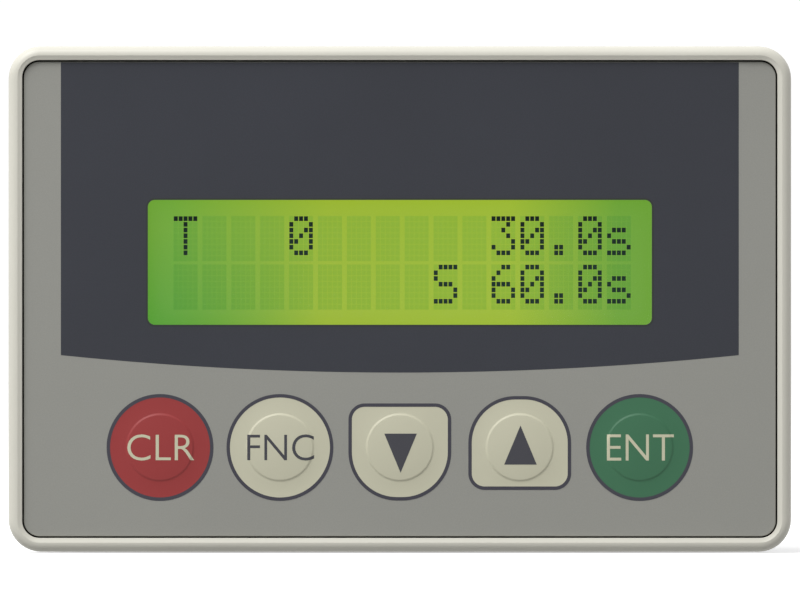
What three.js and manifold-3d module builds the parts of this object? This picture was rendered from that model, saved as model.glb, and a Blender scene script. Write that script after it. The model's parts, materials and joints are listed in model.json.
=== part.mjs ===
// An enlarger timer that mounts in a panel cut-out: a moulded bezel with a printed film, a two-line
// character display and five film keys, and behind the panel a case with boards, clamps and terminals.
// Millimetres. +Z is up, the front faces -Y. The panel's front surface lies in the plane y = 0, and
// the origin is the centre of the cut-out.

import * as THREE from 'three';
import { mergeVertices } from 'three/addons/utils/BufferGeometryUtils.js';
import Module from 'manifold-3d';

const wasm = await Module();
wasm.setup();

// ---------------------------------------------------------------- driving dimensions

// Clearances
const SEAT_GAP = 0.02; // between faces that rest on each other
const SLIDE_GAP = 0.15; // all round a piece that slides or turns
const FIT_GAP = 0.1; // all round a piece that is dropped into a recess
const LOOSE_GAP = 0.3; // between a board or a bought part and the hole it passes
const TURNED_GAP = 0.25; // all round a piece that stands askew to its neighbour

// Front
const FRONT_WIDTH = 96;
const FRONT_HEIGHT = 62;
const FRONT_CORNER = 4;
const BEZEL_DEPTH = 5;
const RIM_WIDTH = 1.7;
const RIM_ROUND = 1.1;
const RIM_FLAT = 0.05;
const RIM_SLOPE = 0.2; // depth of the slope inside the rim's crest
const POCKET_DEPTH = 1;
const POCKET_CORNER = 2.1;
const FRONT_WALL = 2;
const OVERLAY_GAP = 0.2;
const OVERLAY_THICKNESS = 0.4;
const GASKET_THICKNESS = 1;
const GASKET_INSET = 0.5; // from the bezel's edge

// Display, a two-line character module with a board of the usual 80 x 36 size
const DISPLAY_BELOW_TOP = 26.5; // from the front's upper edge to the display's middle line
const WINDOW_WIDTH = 61.8;
const WINDOW_HEIGHT = 15.3;
const WINDOW_CORNER = 0.85;
const WINDOW_SHOULDER = 0.4; // how far the bezel's opening stays back from the film's
const PANE_MARGIN = 2.1;
const PANE_THICKNESS = 1.2;
const PANE_CORNER = 1;
const LCD_FRAME_WIDTH = 71.2;
const LCD_FRAME_HEIGHT = 25.2;
const LCD_FRAME_DEPTH = 8.6;
const LCD_FRAME_WALL = 0.8;
const LCD_FRAME_WINDOW_WIDTH = 64.5;
const LCD_FRAME_WINDOW_HEIGHT = 16;
const LCD_GLASS_THICKNESS = 2.2;
const LCD_BOARD_WIDTH = 80;
const LCD_BOARD_HEIGHT = 36;
const LCD_HOLE_PITCH_X = 75;
const LCD_HOLE_PITCH_Z = 31;
const BOARD_THICKNESS = 1.6;

// Board fixings (M2.5)
const POST_DIAMETER = 5.4;
const FIXING_DIAMETER = 2.4;
const BOARD_SCREW_LENGTH = 5;
const BOARD_SCREW_HEAD = 4.5;
const BOARD_SCREW_HEAD_HEIGHT = 1.8;
const STANDOFF_ACROSS_FLATS = 5;
const STANDOFF_LENGTH = 5.7;
const STANDOFF_STUD = 5;
const STANDOFF_SOCKET = 4;
const BOARD_CORNER = 1;
const LINK_LENGTH = 40.6;
const LINK_WIDTH = 2.5;
const LINK_INSET = 2; // from the display board's upper edge to the pin row

// Keys
const KEY_ROW_ABOVE_BOTTOM = 12.8; // from the front's lower edge to the keys' middle line
const KEY_PITCH = 14.7;
const KEY_NAMES = ['clear', 'function', 'down', 'up', 'enter'];
const PAD_DIAMETER = 8.2;
const PAD_RISE = 0.45; // above the film
const PAD_EDGE = 0.3; // the pad's sloping edge
const PAD_WELL = 0.6; // depth of the bezel's counterbore under the pad
const PAD_WELL_MARGIN = 0.3;
const BUTTON_DIAMETER = 3.4;
const BUTTON_COLLAR = 4.4;
const BUTTON_COLLAR_HEIGHT = 0.6;
const SWITCH_SIZE = 6;
const SWITCH_HEIGHT = 3.5;
const SWITCH_COVER = 0.8;
const SWITCH_FLOOR = 1.2;

// Case
const FLANGE_LIP_X = 4.5; // from the case's side to the bezel's edge
const FLANGE_LIP_Z = 6;
const CASE_DEPTH = 33; // behind the panel's front surface
const CASE_CORNER = 2;
const CASE_WALL = 1.8;
const SPIGOT_WALL = 1.6;
const SPIGOT_LENGTH = 8;
const VENT_COUNT = 6;
const VENT_WIDTH = 1.6;
const VENT_HEIGHT = 13;
const VENT_PITCH = 4;

// Case screws (countersunk, through the case's sides into the bezel's spigot)
const CASE_SCREW_BEHIND = 2.6; // behind the panel's front surface
const CASE_SCREW_ROWS = [8, -19];
const CASE_SCREW_DIAMETER = 2.4;
const CASE_SCREW_HEAD = 4.6;
const CASE_SCREW_HEAD_HEIGHT = 1.1;
const CASE_SCREW_LENGTH = 6;
const CASE_BOSS = 5.5;
const CASE_BOSS_REACH = 5;

// Main board and what stands on its rear
const PROCESSOR_SIZE = [36, 4, 14];
const POWER_MODULE_SIZE = [34, 15, 20];
const POWER_MODULE_PLACE = [-17, 10];
const RELAY_SIZE = [19, 15.3, 15.5];
const RELAY_PLACE = [13.5, 10.8];
const CAPACITOR_DIAMETER = 10;
const CAPACITOR_HEIGHT = 12.5;
const CAPACITOR_PLACE = [30, 13];
const BUZZER_DIAMETER = 12;
const BUZZER_HEIGHT = 9.5;
const BUZZER_ABOVE_BOTTOM = 9.5; // from the case's lower face to the buzzer's axis
const BUZZER_BESIDE_BLOCK = 0.8; // between the buzzer and the terminal block
const BUZZER_SOUND_HOLE = 2;
const TRIMMER_SIZE = 7;
const TRIMMER_HEIGHT = 3.6;
const TRIMMER_PLACE = [29, -14];
const ROTOR_DIAMETER = 4;
const ROTOR_HEIGHT = 2.8;
const ROTOR_SLOT = 0.7;
const ROTOR_SOCKET = 2.5;
const TRIMMER_ACCESS_DIAMETER = 4;

// Panel clamps, one above the case and one below it
const CLAMP_WIDTH = 14;
const CLAMP_BASE = 1;
const CLAMP_FRONT = 12; // behind the panel's front surface
const CLAMP_LENGTH = 15;
const CLAMP_LUG = 6;
const CLAMP_LUG_WIDTH = 8;
const CLAMP_TOP_MARGIN = 0.15; // below the bezel's edge
const CLAMP_SCREW_DIAMETER = 4;
const CLAMP_LUG_ROOF = 0.4; // left of the lug above the screw's thread
const CLAMP_SCREW_TIP = 3;
const CLAMP_SCREW_TIP_LENGTH = 1.5;
const CLAMP_SCREW_HEAD = 5;
const CLAMP_SCREW_HEAD_HEIGHT = 2.6;
const CLAMP_SCREW_SLOT = 1;
const CLAMP_SCREW_RESERVE = 0.5; // left between head and lug on the thinnest panel
const PANEL_GAP = 6.2; // from the panel's front surface to the open clamp's foot
const PANEL_THINNEST = 1.3;
const FOOT_WIDTH = 12;
const FOOT_THICKNESS = 2.6;
const FOOT_HEIGHT = 5;
const FOOT_LIFT = 0.5; // above the case
const HOOK_WIDTH = 3;
const HOOK_LENGTH = 3;
const HOOK_TOE = 1.2;
const HOOK_TOE_THICKNESS = 1;
const HOOK_SPREAD = 9;
const HOOK_FRONT = 17; // behind the panel's front surface

// Terminals
const POLE_COUNT = 4;
const POLE_PITCH = 9.5;
const POLE_WALL = 1.5;
const BLOCK_HEIGHT = 19;
const BLOCK_TOP_WALL = 2;
const BAY_STEP = 0.4; // from the case's rear face to the bays' floors
const BAY_DEPTH = 6;
const TERMINAL_SCREW_DIAMETER = 3.5;
const TERMINAL_SCREW_LENGTH = 7;
const TERMINAL_SCREW_HEAD = 6.4;
const TERMINAL_SCREW_HEAD_HEIGHT = 2.5;
const TERMINAL_SCREW_SLOT = 0.9;
const TERMINAL_SCREW_CROWN = 0.7;
const TERMINAL_SCREW_BELOW_WALL = 4.6; // from the bay's top wall to the screw's axis
const WASHER_SIZE = 7.2;
const WASHER_THICKNESS = 1;
const WASHER_CORNER = 0.8;

// Roundness
const ARC_STEPS = 3; // half the number of facets in a quarter circle
const RIM_STEPS = 3;
const HEX = 6;
const SIDES = 32;
const SMALL_SIDES = 20;
const OVERCUT = 1; // how far a cutting tool reaches past the face it cuts

// ---------------------------------------------------------------- what follows from them

const FLANGE_REAR = -GASKET_THICKNESS;
const RIM_CREST = FLANGE_REAR - BEZEL_DEPTH;
const POCKET_FLOOR = RIM_CREST + POCKET_DEPTH;
const WALL_REAR = POCKET_FLOOR + FRONT_WALL;
const POCKET_WIDTH = FRONT_WIDTH - 2 * RIM_WIDTH;
const POCKET_HEIGHT = FRONT_HEIGHT - 2 * RIM_WIDTH;
const OVERLAY_REAR = POCKET_FLOOR - SEAT_GAP;
const OVERLAY_FRONT = OVERLAY_REAR - OVERLAY_THICKNESS;

const CASE_WIDTH = FRONT_WIDTH - 2 * FLANGE_LIP_X;
const CASE_HEIGHT = FRONT_HEIGHT - 2 * FLANGE_LIP_Z;
const CASE_INNER_WIDTH = CASE_WIDTH - 2 * CASE_WALL;
const CASE_INNER_HEIGHT = CASE_HEIGHT - 2 * CASE_WALL;
const CASE_INNER_CORNER = CASE_CORNER / 2;
const CASE_MOUTH = WALL_REAR + SEAT_GAP;
const CASE_INNER_REAR = CASE_DEPTH - CASE_WALL;

const DISPLAY_Z = FRONT_HEIGHT / 2 - DISPLAY_BELOW_TOP;
const PANE_WIDTH = WINDOW_WIDTH + 2 * PANE_MARGIN;
const PANE_HEIGHT = WINDOW_HEIGHT + 2 * PANE_MARGIN;
const PANE_FRONT = POCKET_FLOOR + SEAT_GAP;
const PANE_REAR = PANE_FRONT + PANE_THICKNESS;
const LCD_FRAME_FRONT = WALL_REAR + FIT_GAP;
const LCD_BOARD_FRONT = LCD_FRAME_FRONT + LCD_FRAME_DEPTH;
const LCD_BOARD_REAR = LCD_BOARD_FRONT + BOARD_THICKNESS;
const MAIN_BOARD_FRONT = LCD_BOARD_REAR + STANDOFF_LENGTH;
const MAIN_BOARD_REAR = MAIN_BOARD_FRONT + BOARD_THICKNESS;
const FIXING_PATTERN = [1, -1].flatMap((up) => [-1, 1].map((side) => [
  side * LCD_HOLE_PITCH_X / 2,
  up * LCD_HOLE_PITCH_Z / 2,
]));
const FIXING_PLACES = FIXING_PATTERN.map(([x, z]) => [x, DISPLAY_Z + z]);
const TRIMMER_REAR = MAIN_BOARD_REAR + SEAT_GAP + TRIMMER_HEIGHT;
const CASE_SCREW_PLACES = [-1, 1].flatMap((side) => CASE_SCREW_ROWS.map((z) => ({ side, z })));

const KEY_Z = KEY_ROW_ABOVE_BOTTOM - FRONT_HEIGHT / 2;
const KEY_PLACES = KEY_NAMES.map((name, index) => ({
  name,
  x: (index - (KEY_NAMES.length - 1) / 2) * KEY_PITCH,
}));
const PAD_REAR = OVERLAY_REAR;
const BUTTON_FRONT = PAD_REAR + SEAT_GAP;
const SWITCH_FRONT = MAIN_BOARD_FRONT - SEAT_GAP - SWITCH_HEIGHT;
const COLLAR_FRONT = SWITCH_FRONT + SWITCH_COVER + SEAT_GAP;

const BLOCK_WIDTH = POLE_COUNT * POLE_PITCH + POLE_WALL;
const BUZZER_PLACE = [
  -(BLOCK_WIDTH / 2 + BUZZER_BESIDE_BLOCK + BUZZER_DIAMETER / 2),
  BUZZER_ABOVE_BOTTOM - CASE_HEIGHT / 2,
];
const CLAMP_REAR = CLAMP_FRONT + CLAMP_LENGTH;
const CLAMP_LUG_TOP = FLANGE_LIP_Z - CLAMP_TOP_MARGIN; // above the case
const CLAMP_SCREW_HEIGHT =
  CLAMP_LUG_TOP - CLAMP_LUG_ROOF - SLIDE_GAP - CLAMP_SCREW_DIAMETER / 2; // above the case
const BLOCK_BOTTOM = CASE_WALL + HOOK_TOE_THICKNESS + 2 * FIT_GAP - CASE_HEIGHT / 2;
const BLOCK_TOP = BLOCK_BOTTOM + BLOCK_HEIGHT;
const BLOCK_Z = (BLOCK_BOTTOM + BLOCK_TOP) / 2;
const BAY_FLOOR = CASE_DEPTH + BAY_STEP;
const BLOCK_REAR = BAY_FLOOR + BAY_DEPTH;
const TERMINAL_Z = BLOCK_TOP - BLOCK_TOP_WALL - TERMINAL_SCREW_BELOW_WALL;
const POLE_PLACES = Array.from(
  { length: POLE_COUNT },
  (_, index) => (index - (POLE_COUNT - 1) / 2) * POLE_PITCH,
);

// ---------------------------------------------------------------- materials

function finish(color, roughness, metalness = 0) {
  return new THREE.MeshStandardMaterial({ color, roughness, metalness });
}

const WARM_GREY_PLASTIC = finish(0xd3d1c4, 0.45);
const PRINTED_FILM = finish(0x8f8e89, 0.55);
const CLEAR_PANE = new THREE.MeshStandardMaterial({
  color: 0xdfe6df, roughness: 0.1, transparent: true, opacity: 0.35,
});
const RED_KEY = finish(0x903635, 0.5);
const IVORY_KEY = finish(0xbebba5, 0.5);
const GREEN_KEY = finish(0x3b6a4c, 0.5);
const LCD_GREEN = finish(0x9ab83f, 0.25);
const LIGHT_GUIDE = finish(0xe8ecd8, 0.4);
const BLACK_STEEL = finish(0x26272a, 0.4, 0.8);
const GREEN_LAMINATE = finish(0x1f5a38, 0.5);
const BLACK_PLASTIC = finish(0x1d1e20, 0.55);
const DARK_HOUSING = finish(0x303236, 0.6);
const BRASS = finish(0xb08d4a, 0.35, 0.9);
const ZINC_STEEL = finish(0xb9bcc0, 0.35, 0.9);
const BLUE_PLASTIC = finish(0x2b5fa8, 0.45);
const SLEEVE_BLUE = finish(0x22304e, 0.4);
const SOFT_RUBBER = finish(0x1a1a1b, 0.9);
const BROWN_PHENOLIC = finish(0x2a2624, 0.5);
const PAD_FINISHES = {
  clear: RED_KEY,
  function: IVORY_KEY,
  down: IVORY_KEY,
  up: IVORY_KEY,
  enter: GREEN_KEY,
};

// ---------------------------------------------------------------- shapes and solids

function roundedRect(width, height, radius, { x = 0, z = 0, PathType = THREE.Shape } = {}) {
  const right = x + width / 2 - radius;
  const left = x - width / 2 + radius;
  const upper = z + height / 2 - radius;
  const lower = z - height / 2 + radius;
  const outline = new PathType();
  outline.absarc(right, upper, radius, 0, Math.PI / 2);
  outline.absarc(left, upper, radius, Math.PI / 2, Math.PI);
  outline.absarc(left, lower, radius, Math.PI, 1.5 * Math.PI);
  outline.absarc(right, lower, radius, 1.5 * Math.PI, 2 * Math.PI);
  outline.closePath();
  return outline;
}

function opening(width, height, radius, x = 0, z = 0) {
  return roundedRect(width, height, radius, { x, z, PathType: THREE.Path });
}

function roundOpening(diameter, x = 0, z = 0) {
  return opening(diameter, diameter, diameter / 2, x, z);
}

// A flat slab: the outline stands in the XZ plane and fills the depth from front to rear.
function slab(shape, front, rear, bevel = { bevelEnabled: false }) {
  const settings = { depth: rear - front, curveSegments: ARC_STEPS, ...bevel };
  const geometry = new THREE.ExtrudeGeometry(shape, settings);
  geometry.rotateX(Math.PI / 2);
  return geometry.translate(0, rear, 0);
}

function block(width, front, rear, height, x = 0, z = 0) {
  const geometry = new THREE.BoxGeometry(width, rear - front, height);
  return geometry.translate(x, (front + rear) / 2, z);
}

function rod(diameter, front, rear, x = 0, z = 0, sides = SMALL_SIDES) {
  const geometry = new THREE.CylinderGeometry(diameter / 2, diameter / 2, rear - front, sides);
  return geometry.translate(x, (front + rear) / 2, z);
}

// A turned piece about the Y axis, from [diameter, y] pairs in order along its outline.
function turned(profile, sides = SMALL_SIDES) {
  const points = profile.map(([diameter, y]) => new THREE.Vector2(diameter / 2, y));
  return new THREE.LatheGeometry(points, sides);
}

function withoutFlatTriangles(index) {
  const kept = [];
  for (let i = 0; i < index.length; i += 3) {
    const [a, b, c] = index.slice(i, i + 3);
    if (a !== b && b !== c && c !== a) kept.push(a, b, c);
  }
  return new Uint32Array(kept);
}

function toSolid(geometry) {
  const bare = geometry.clone();
  bare.deleteAttribute('normal');
  bare.deleteAttribute('uv');
  const merged = mergeVertices(bare);
  return new wasm.Manifold(new wasm.Mesh({
    numProp: 3,
    vertProperties: new Float32Array(merged.attributes.position.array),
    triVerts: withoutFlatTriangles(merged.index.array),
  }));
}

function toGeometry(solid) {
  const { vertProperties, triVerts } = solid.getMesh();
  const geometry = new THREE.BufferGeometry();
  geometry.setAttribute('position', new THREE.BufferAttribute(vertProperties, 3));
  geometry.setIndex(new THREE.BufferAttribute(triVerts, 1));
  geometry.computeVertexNormals();
  return geometry;
}

function joined(base, ...others) {
  return toGeometry(others.reduce((solid, other) => solid.add(toSolid(other)), toSolid(base)));
}

function cut(base, ...tools) {
  return toGeometry(tools.reduce((solid, tool) => solid.subtract(toSolid(tool)), toSolid(base)));
}

function piece(name, geometry, material, x = 0, z = 0) {
  const mesh = new THREE.Mesh(geometry, material);
  mesh.name = name;
  mesh.position.set(x, 0, z);
  return mesh;
}

function assembly(...members) {
  const group = new THREE.Group();
  group.add(...members);
  return group;
}

// ---------------------------------------------------------------- front: bezel, film, pane, gasket

function rimBody() {
  const rounded = slab(
    roundedRect(FRONT_WIDTH, FRONT_HEIGHT, FRONT_CORNER),
    RIM_CREST + RIM_ROUND,
    FLANGE_REAR,
    {
      bevelSegments: RIM_STEPS,
      bevelSize: RIM_ROUND,
      bevelOffset: -RIM_ROUND,
      bevelThickness: RIM_ROUND,
    },
  );
  const behindFlange = block(2 * FRONT_WIDTH, FLANGE_REAR, FLANGE_REAR + BEZEL_DEPTH, 2 * FRONT_HEIGHT);
  return cut(rounded, behindFlange);
}

function pocketTools() {
  const outline = roundedRect(POCKET_WIDTH, POCKET_HEIGHT, POCKET_CORNER);
  const mouth = slab(outline, RIM_CREST - OVERCUT, RIM_CREST, {
    bevelSegments: 1,
    bevelSize: RIM_WIDTH - RIM_ROUND - RIM_FLAT,
    bevelThickness: RIM_SLOPE,
  });
  return [mouth, slab(outline, RIM_CREST, POCKET_FLOOR)];
}

function caseRecess() {
  const outline = roundedRect(CASE_WIDTH + 2 * FIT_GAP, CASE_HEIGHT + 2 * FIT_GAP, CASE_CORNER);
  return slab(outline, WALL_REAR, FLANGE_REAR + OVERCUT);
}

function spigot() {
  const width = CASE_INNER_WIDTH - 2 * FIT_GAP;
  const height = CASE_INNER_HEIGHT - 2 * FIT_GAP;
  const ring = roundedRect(width, height, CASE_INNER_CORNER);
  ring.holes.push(opening(width - 2 * SPIGOT_WALL, height - 2 * SPIGOT_WALL, CASE_INNER_CORNER));
  return slab(ring, WALL_REAR - OVERCUT, WALL_REAR + SPIGOT_LENGTH);
}

function caseScrewBoss({ side, z }) {
  const outside = CASE_INNER_WIDTH / 2 - FIT_GAP;
  const front = WALL_REAR - OVERCUT;
  const rear = CASE_SCREW_BEHIND + CASE_BOSS / 2;
  return block(CASE_BOSS_REACH, front, rear, CASE_BOSS, side * (outside - CASE_BOSS_REACH / 2), z);
}

function caseScrewHole({ side, z }) {
  const diameter = CASE_SCREW_DIAMETER + 2 * TURNED_GAP;
  const length = CASE_SCREW_LENGTH + 2 * OVERCUT;
  const hole = rod(diameter, -length, OVERCUT);
  hole.rotateZ(-side * Math.PI / 2);
  return hole.translate(side * CASE_WIDTH / 2, CASE_SCREW_BEHIND, z);
}

function displayTools() {
  const paneRecess = roundedRect(
    PANE_WIDTH + 2 * FIT_GAP,
    PANE_HEIGHT + 2 * FIT_GAP,
    PANE_CORNER,
    { z: DISPLAY_Z },
  );
  const light = roundedRect(
    WINDOW_WIDTH + 2 * WINDOW_SHOULDER,
    WINDOW_HEIGHT + 2 * WINDOW_SHOULDER,
    WINDOW_CORNER + WINDOW_SHOULDER,
    { z: DISPLAY_Z },
  );
  return [
    slab(paneRecess, POCKET_FLOOR - OVERCUT, PANE_REAR + SEAT_GAP),
    slab(light, POCKET_FLOOR - OVERCUT, WALL_REAR + OVERCUT),
  ];
}

function keyTools({ x }) {
  const wellDiameter = PAD_DIAMETER + 2 * SLIDE_GAP + 2 * PAD_WELL_MARGIN;
  return [
    rod(wellDiameter, POCKET_FLOOR - OVERCUT, POCKET_FLOOR + PAD_WELL, x, KEY_Z, SIDES),
    rod(BUTTON_DIAMETER + 2 * SLIDE_GAP, POCKET_FLOOR, WALL_REAR + OVERCUT, x, KEY_Z),
  ];
}

function post([x, z]) {
  return rod(POST_DIAMETER, WALL_REAR - OVERCUT, LCD_BOARD_FRONT - SEAT_GAP, x, z);
}

function postHole([x, z]) {
  const diameter = FIXING_DIAMETER + 2 * SLIDE_GAP;
  return rod(diameter, LCD_BOARD_REAR - STANDOFF_STUD - OVERCUT, LCD_BOARD_FRONT, x, z);
}

function bezel() {
  const front = cut(rimBody(), ...pocketTools(), caseRecess());
  const whole = joined(
    front,
    spigot(),
    ...CASE_SCREW_PLACES.map(caseScrewBoss),
    ...FIXING_PLACES.map(post),
  );
  return cut(
    whole,
    ...displayTools(),
    ...KEY_PLACES.flatMap(keyTools),
    ...FIXING_PLACES.map(postHole),
    ...CASE_SCREW_PLACES.map(caseScrewHole),
  );
}

function overlay() {
  const film = roundedRect(
    POCKET_WIDTH - 2 * OVERLAY_GAP,
    POCKET_HEIGHT - 2 * OVERLAY_GAP,
    POCKET_CORNER - OVERLAY_GAP,
  );
  film.holes.push(opening(WINDOW_WIDTH, WINDOW_HEIGHT, WINDOW_CORNER, 0, DISPLAY_Z));
  for (const { x } of KEY_PLACES) {
    film.holes.push(roundOpening(PAD_DIAMETER + 2 * SLIDE_GAP, x, KEY_Z));
  }
  return slab(film, OVERLAY_FRONT, OVERLAY_REAR);
}

function gasket() {
  const outer = 2 * GASKET_INSET;
  const ring = roundedRect(FRONT_WIDTH - outer, FRONT_HEIGHT - outer, FRONT_CORNER - GASKET_INSET);
  ring.holes.push(opening(CASE_WIDTH + 2 * LOOSE_GAP, CASE_HEIGHT + 2 * LOOSE_GAP, CASE_CORNER));
  return slab(ring, FLANGE_REAR + SEAT_GAP, 0);
}

function front() {
  return assembly(
    piece('bezel', bezel(), WARM_GREY_PLASTIC),
    piece('overlay', overlay(), PRINTED_FILM),
    piece('panel_gasket', gasket(), SOFT_RUBBER),
  );
}

// ---------------------------------------------------------------- display module

function lcdFrame() {
  const rear = LCD_BOARD_FRONT - SEAT_GAP;
  const shell = slab(roundedRect(LCD_FRAME_WIDTH, LCD_FRAME_HEIGHT, LCD_FRAME_WALL), LCD_FRAME_FRONT, rear);
  const inside = block(
    LCD_FRAME_WIDTH - 2 * LCD_FRAME_WALL,
    LCD_FRAME_FRONT + LCD_FRAME_WALL,
    rear + OVERCUT,
    LCD_FRAME_HEIGHT - 2 * LCD_FRAME_WALL,
  );
  const window = block(
    LCD_FRAME_WINDOW_WIDTH,
    LCD_FRAME_FRONT - OVERCUT,
    LCD_FRAME_FRONT + LCD_FRAME_WALL + OVERCUT,
    LCD_FRAME_WINDOW_HEIGHT,
  );
  return cut(shell, inside, window);
}

function lcdLayer(front, rear) {
  const margin = LCD_FRAME_WALL + FIT_GAP;
  return block(LCD_FRAME_WIDTH - 2 * margin, front, rear, LCD_FRAME_HEIGHT - 2 * margin);
}

function lcdBoard() {
  const board = roundedRect(LCD_BOARD_WIDTH, LCD_BOARD_HEIGHT, BOARD_CORNER);
  for (const [x, z] of FIXING_PATTERN) {
    board.holes.push(roundOpening(FIXING_DIAMETER + 2 * SLIDE_GAP, x, z));
  }
  return slab(board, LCD_BOARD_FRONT, LCD_BOARD_REAR);
}

function boardLink() {
  const z = LCD_BOARD_HEIGHT / 2 - LINK_INSET;
  return block(LINK_LENGTH, LCD_BOARD_REAR + SEAT_GAP, MAIN_BOARD_FRONT - SEAT_GAP, LINK_WIDTH, 0, z);
}

function display() {
  const paneOutline = roundedRect(PANE_WIDTH, PANE_HEIGHT, PANE_CORNER);
  const glassFront = LCD_FRAME_FRONT + LCD_FRAME_WALL + SEAT_GAP;
  const glassRear = glassFront + LCD_GLASS_THICKNESS;
  const module = assembly(
    piece('display_window', slab(paneOutline, PANE_FRONT, PANE_REAR), CLEAR_PANE),
    piece('lcd_frame', lcdFrame(), BLACK_STEEL),
    piece('lcd_glass', lcdLayer(glassFront, glassRear), LCD_GREEN),
    piece('lcd_backlight', lcdLayer(glassRear + SEAT_GAP, LCD_BOARD_FRONT - SEAT_GAP), LIGHT_GUIDE),
    piece('lcd_board', lcdBoard(), GREEN_LAMINATE),
    piece('board_link', boardLink(), BLACK_PLASTIC),
  );
  module.position.z = DISPLAY_Z;
  return module;
}

// ---------------------------------------------------------------- keys: film spot, button, switch

function keyPad() {
  const front = OVERLAY_FRONT - PAD_RISE;
  return turned([
    [0, front],
    [PAD_DIAMETER - 2 * PAD_EDGE, front],
    [PAD_DIAMETER, front + PAD_EDGE],
    [PAD_DIAMETER, PAD_REAR],
    [0, PAD_REAR],
  ], SIDES);
}

function switchButton() {
  return turned([
    [0, BUTTON_FRONT],
    [BUTTON_DIAMETER, BUTTON_FRONT],
    [BUTTON_DIAMETER, COLLAR_FRONT],
    [BUTTON_COLLAR, COLLAR_FRONT],
    [BUTTON_COLLAR, COLLAR_FRONT + BUTTON_COLLAR_HEIGHT],
    [0, COLLAR_FRONT + BUTTON_COLLAR_HEIGHT],
  ]);
}

function switchBody() {
  const rear = SWITCH_FRONT + SWITCH_HEIGHT;
  return cut(
    block(SWITCH_SIZE, SWITCH_FRONT, rear, SWITCH_SIZE),
    rod(BUTTON_DIAMETER + 2 * SLIDE_GAP, SWITCH_FRONT - OVERCUT, SWITCH_FRONT + OVERCUT),
    rod(BUTTON_COLLAR + 2 * SLIDE_GAP, SWITCH_FRONT + SWITCH_COVER, rear - SWITCH_FLOOR),
  );
}

function keys() {
  const pad = keyPad();
  const button = switchButton();
  const body = switchBody();
  const members = KEY_PLACES.flatMap(({ name, x }) => [
    piece(`key_pad_${name}`, pad, PAD_FINISHES[name], x, KEY_Z),
    piece(`switch_button_${name}`, button, BLACK_PLASTIC, x, KEY_Z),
    piece(`switch_body_${name}`, body, BLACK_STEEL, x, KEY_Z),
  ]);
  return assembly(...members);
}

// ---------------------------------------------------------------- main board and its components

function mainBoard() {
  const board = roundedRect(
    CASE_INNER_WIDTH - 2 * LOOSE_GAP,
    CASE_INNER_HEIGHT - 2 * LOOSE_GAP,
    BOARD_CORNER,
  );
  for (const [x, z] of FIXING_PLACES) {
    board.holes.push(roundOpening(FIXING_DIAMETER + 2 * SLIDE_GAP, x, z));
  }
  return slab(board, MAIN_BOARD_FRONT, MAIN_BOARD_REAR);
}

function standoff() {
  const front = LCD_BOARD_REAR + SEAT_GAP;
  const rear = MAIN_BOARD_FRONT - SEAT_GAP;
  const acrossCorners = STANDOFF_ACROSS_FLATS / Math.cos(Math.PI / HEX);
  const body = rod(acrossCorners, front, rear, 0, 0, HEX);
  const stud = rod(FIXING_DIAMETER, front - STANDOFF_STUD, front + OVERCUT);
  const socket = rod(FIXING_DIAMETER + 2 * SLIDE_GAP, rear - STANDOFF_SOCKET, rear + OVERCUT);
  return cut(joined(body, stud), socket);
}

function boardScrew() {
  const seat = MAIN_BOARD_REAR + SEAT_GAP;
  const top = seat + BOARD_SCREW_HEAD_HEIGHT;
  return turned([
    [0, seat - BOARD_SCREW_LENGTH],
    [FIXING_DIAMETER, seat - BOARD_SCREW_LENGTH],
    [FIXING_DIAMETER, seat],
    [BOARD_SCREW_HEAD, seat],
    [BOARD_SCREW_HEAD, top - BOARD_SCREW_HEAD_HEIGHT / 2],
    [BOARD_SCREW_HEAD / 2, top],
    [0, top],
  ]);
}

function onBoard([width, height, depth], [x, z]) {
  const front = MAIN_BOARD_REAR + SEAT_GAP;
  return block(width, front, front + height, depth, x, z);
}

function processor() {
  const [width, height, depth] = PROCESSOR_SIZE;
  const rear = MAIN_BOARD_FRONT - SEAT_GAP;
  return block(width, rear - height, rear, depth, 0, DISPLAY_Z);
}

function capacitor() {
  const front = MAIN_BOARD_REAR + SEAT_GAP;
  const [x, z] = CAPACITOR_PLACE;
  return rod(CAPACITOR_DIAMETER, front, front + CAPACITOR_HEIGHT, x, z, SIDES);
}

function buzzer() {
  const front = MAIN_BOARD_REAR + SEAT_GAP;
  const rear = front + BUZZER_HEIGHT;
  const [x, z] = BUZZER_PLACE;
  return cut(
    rod(BUZZER_DIAMETER, front, rear, x, z, SIDES),
    rod(BUZZER_SOUND_HOLE, rear - OVERCUT, rear + OVERCUT, x, z),
  );
}

function trimmerBody() {
  return cut(
    block(TRIMMER_SIZE, MAIN_BOARD_REAR + SEAT_GAP, TRIMMER_REAR, TRIMMER_SIZE),
    rod(ROTOR_DIAMETER + 2 * SLIDE_GAP, TRIMMER_REAR - ROTOR_SOCKET, TRIMMER_REAR + OVERCUT),
  );
}

function trimmerRotor() {
  const front = TRIMMER_REAR - ROTOR_SOCKET + SLIDE_GAP;
  const rear = front + ROTOR_HEIGHT;
  return cut(
    rod(ROTOR_DIAMETER, front, rear),
    block(2 * ROTOR_DIAMETER, rear - ROTOR_SLOT, rear + OVERCUT, ROTOR_SLOT),
  );
}

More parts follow.
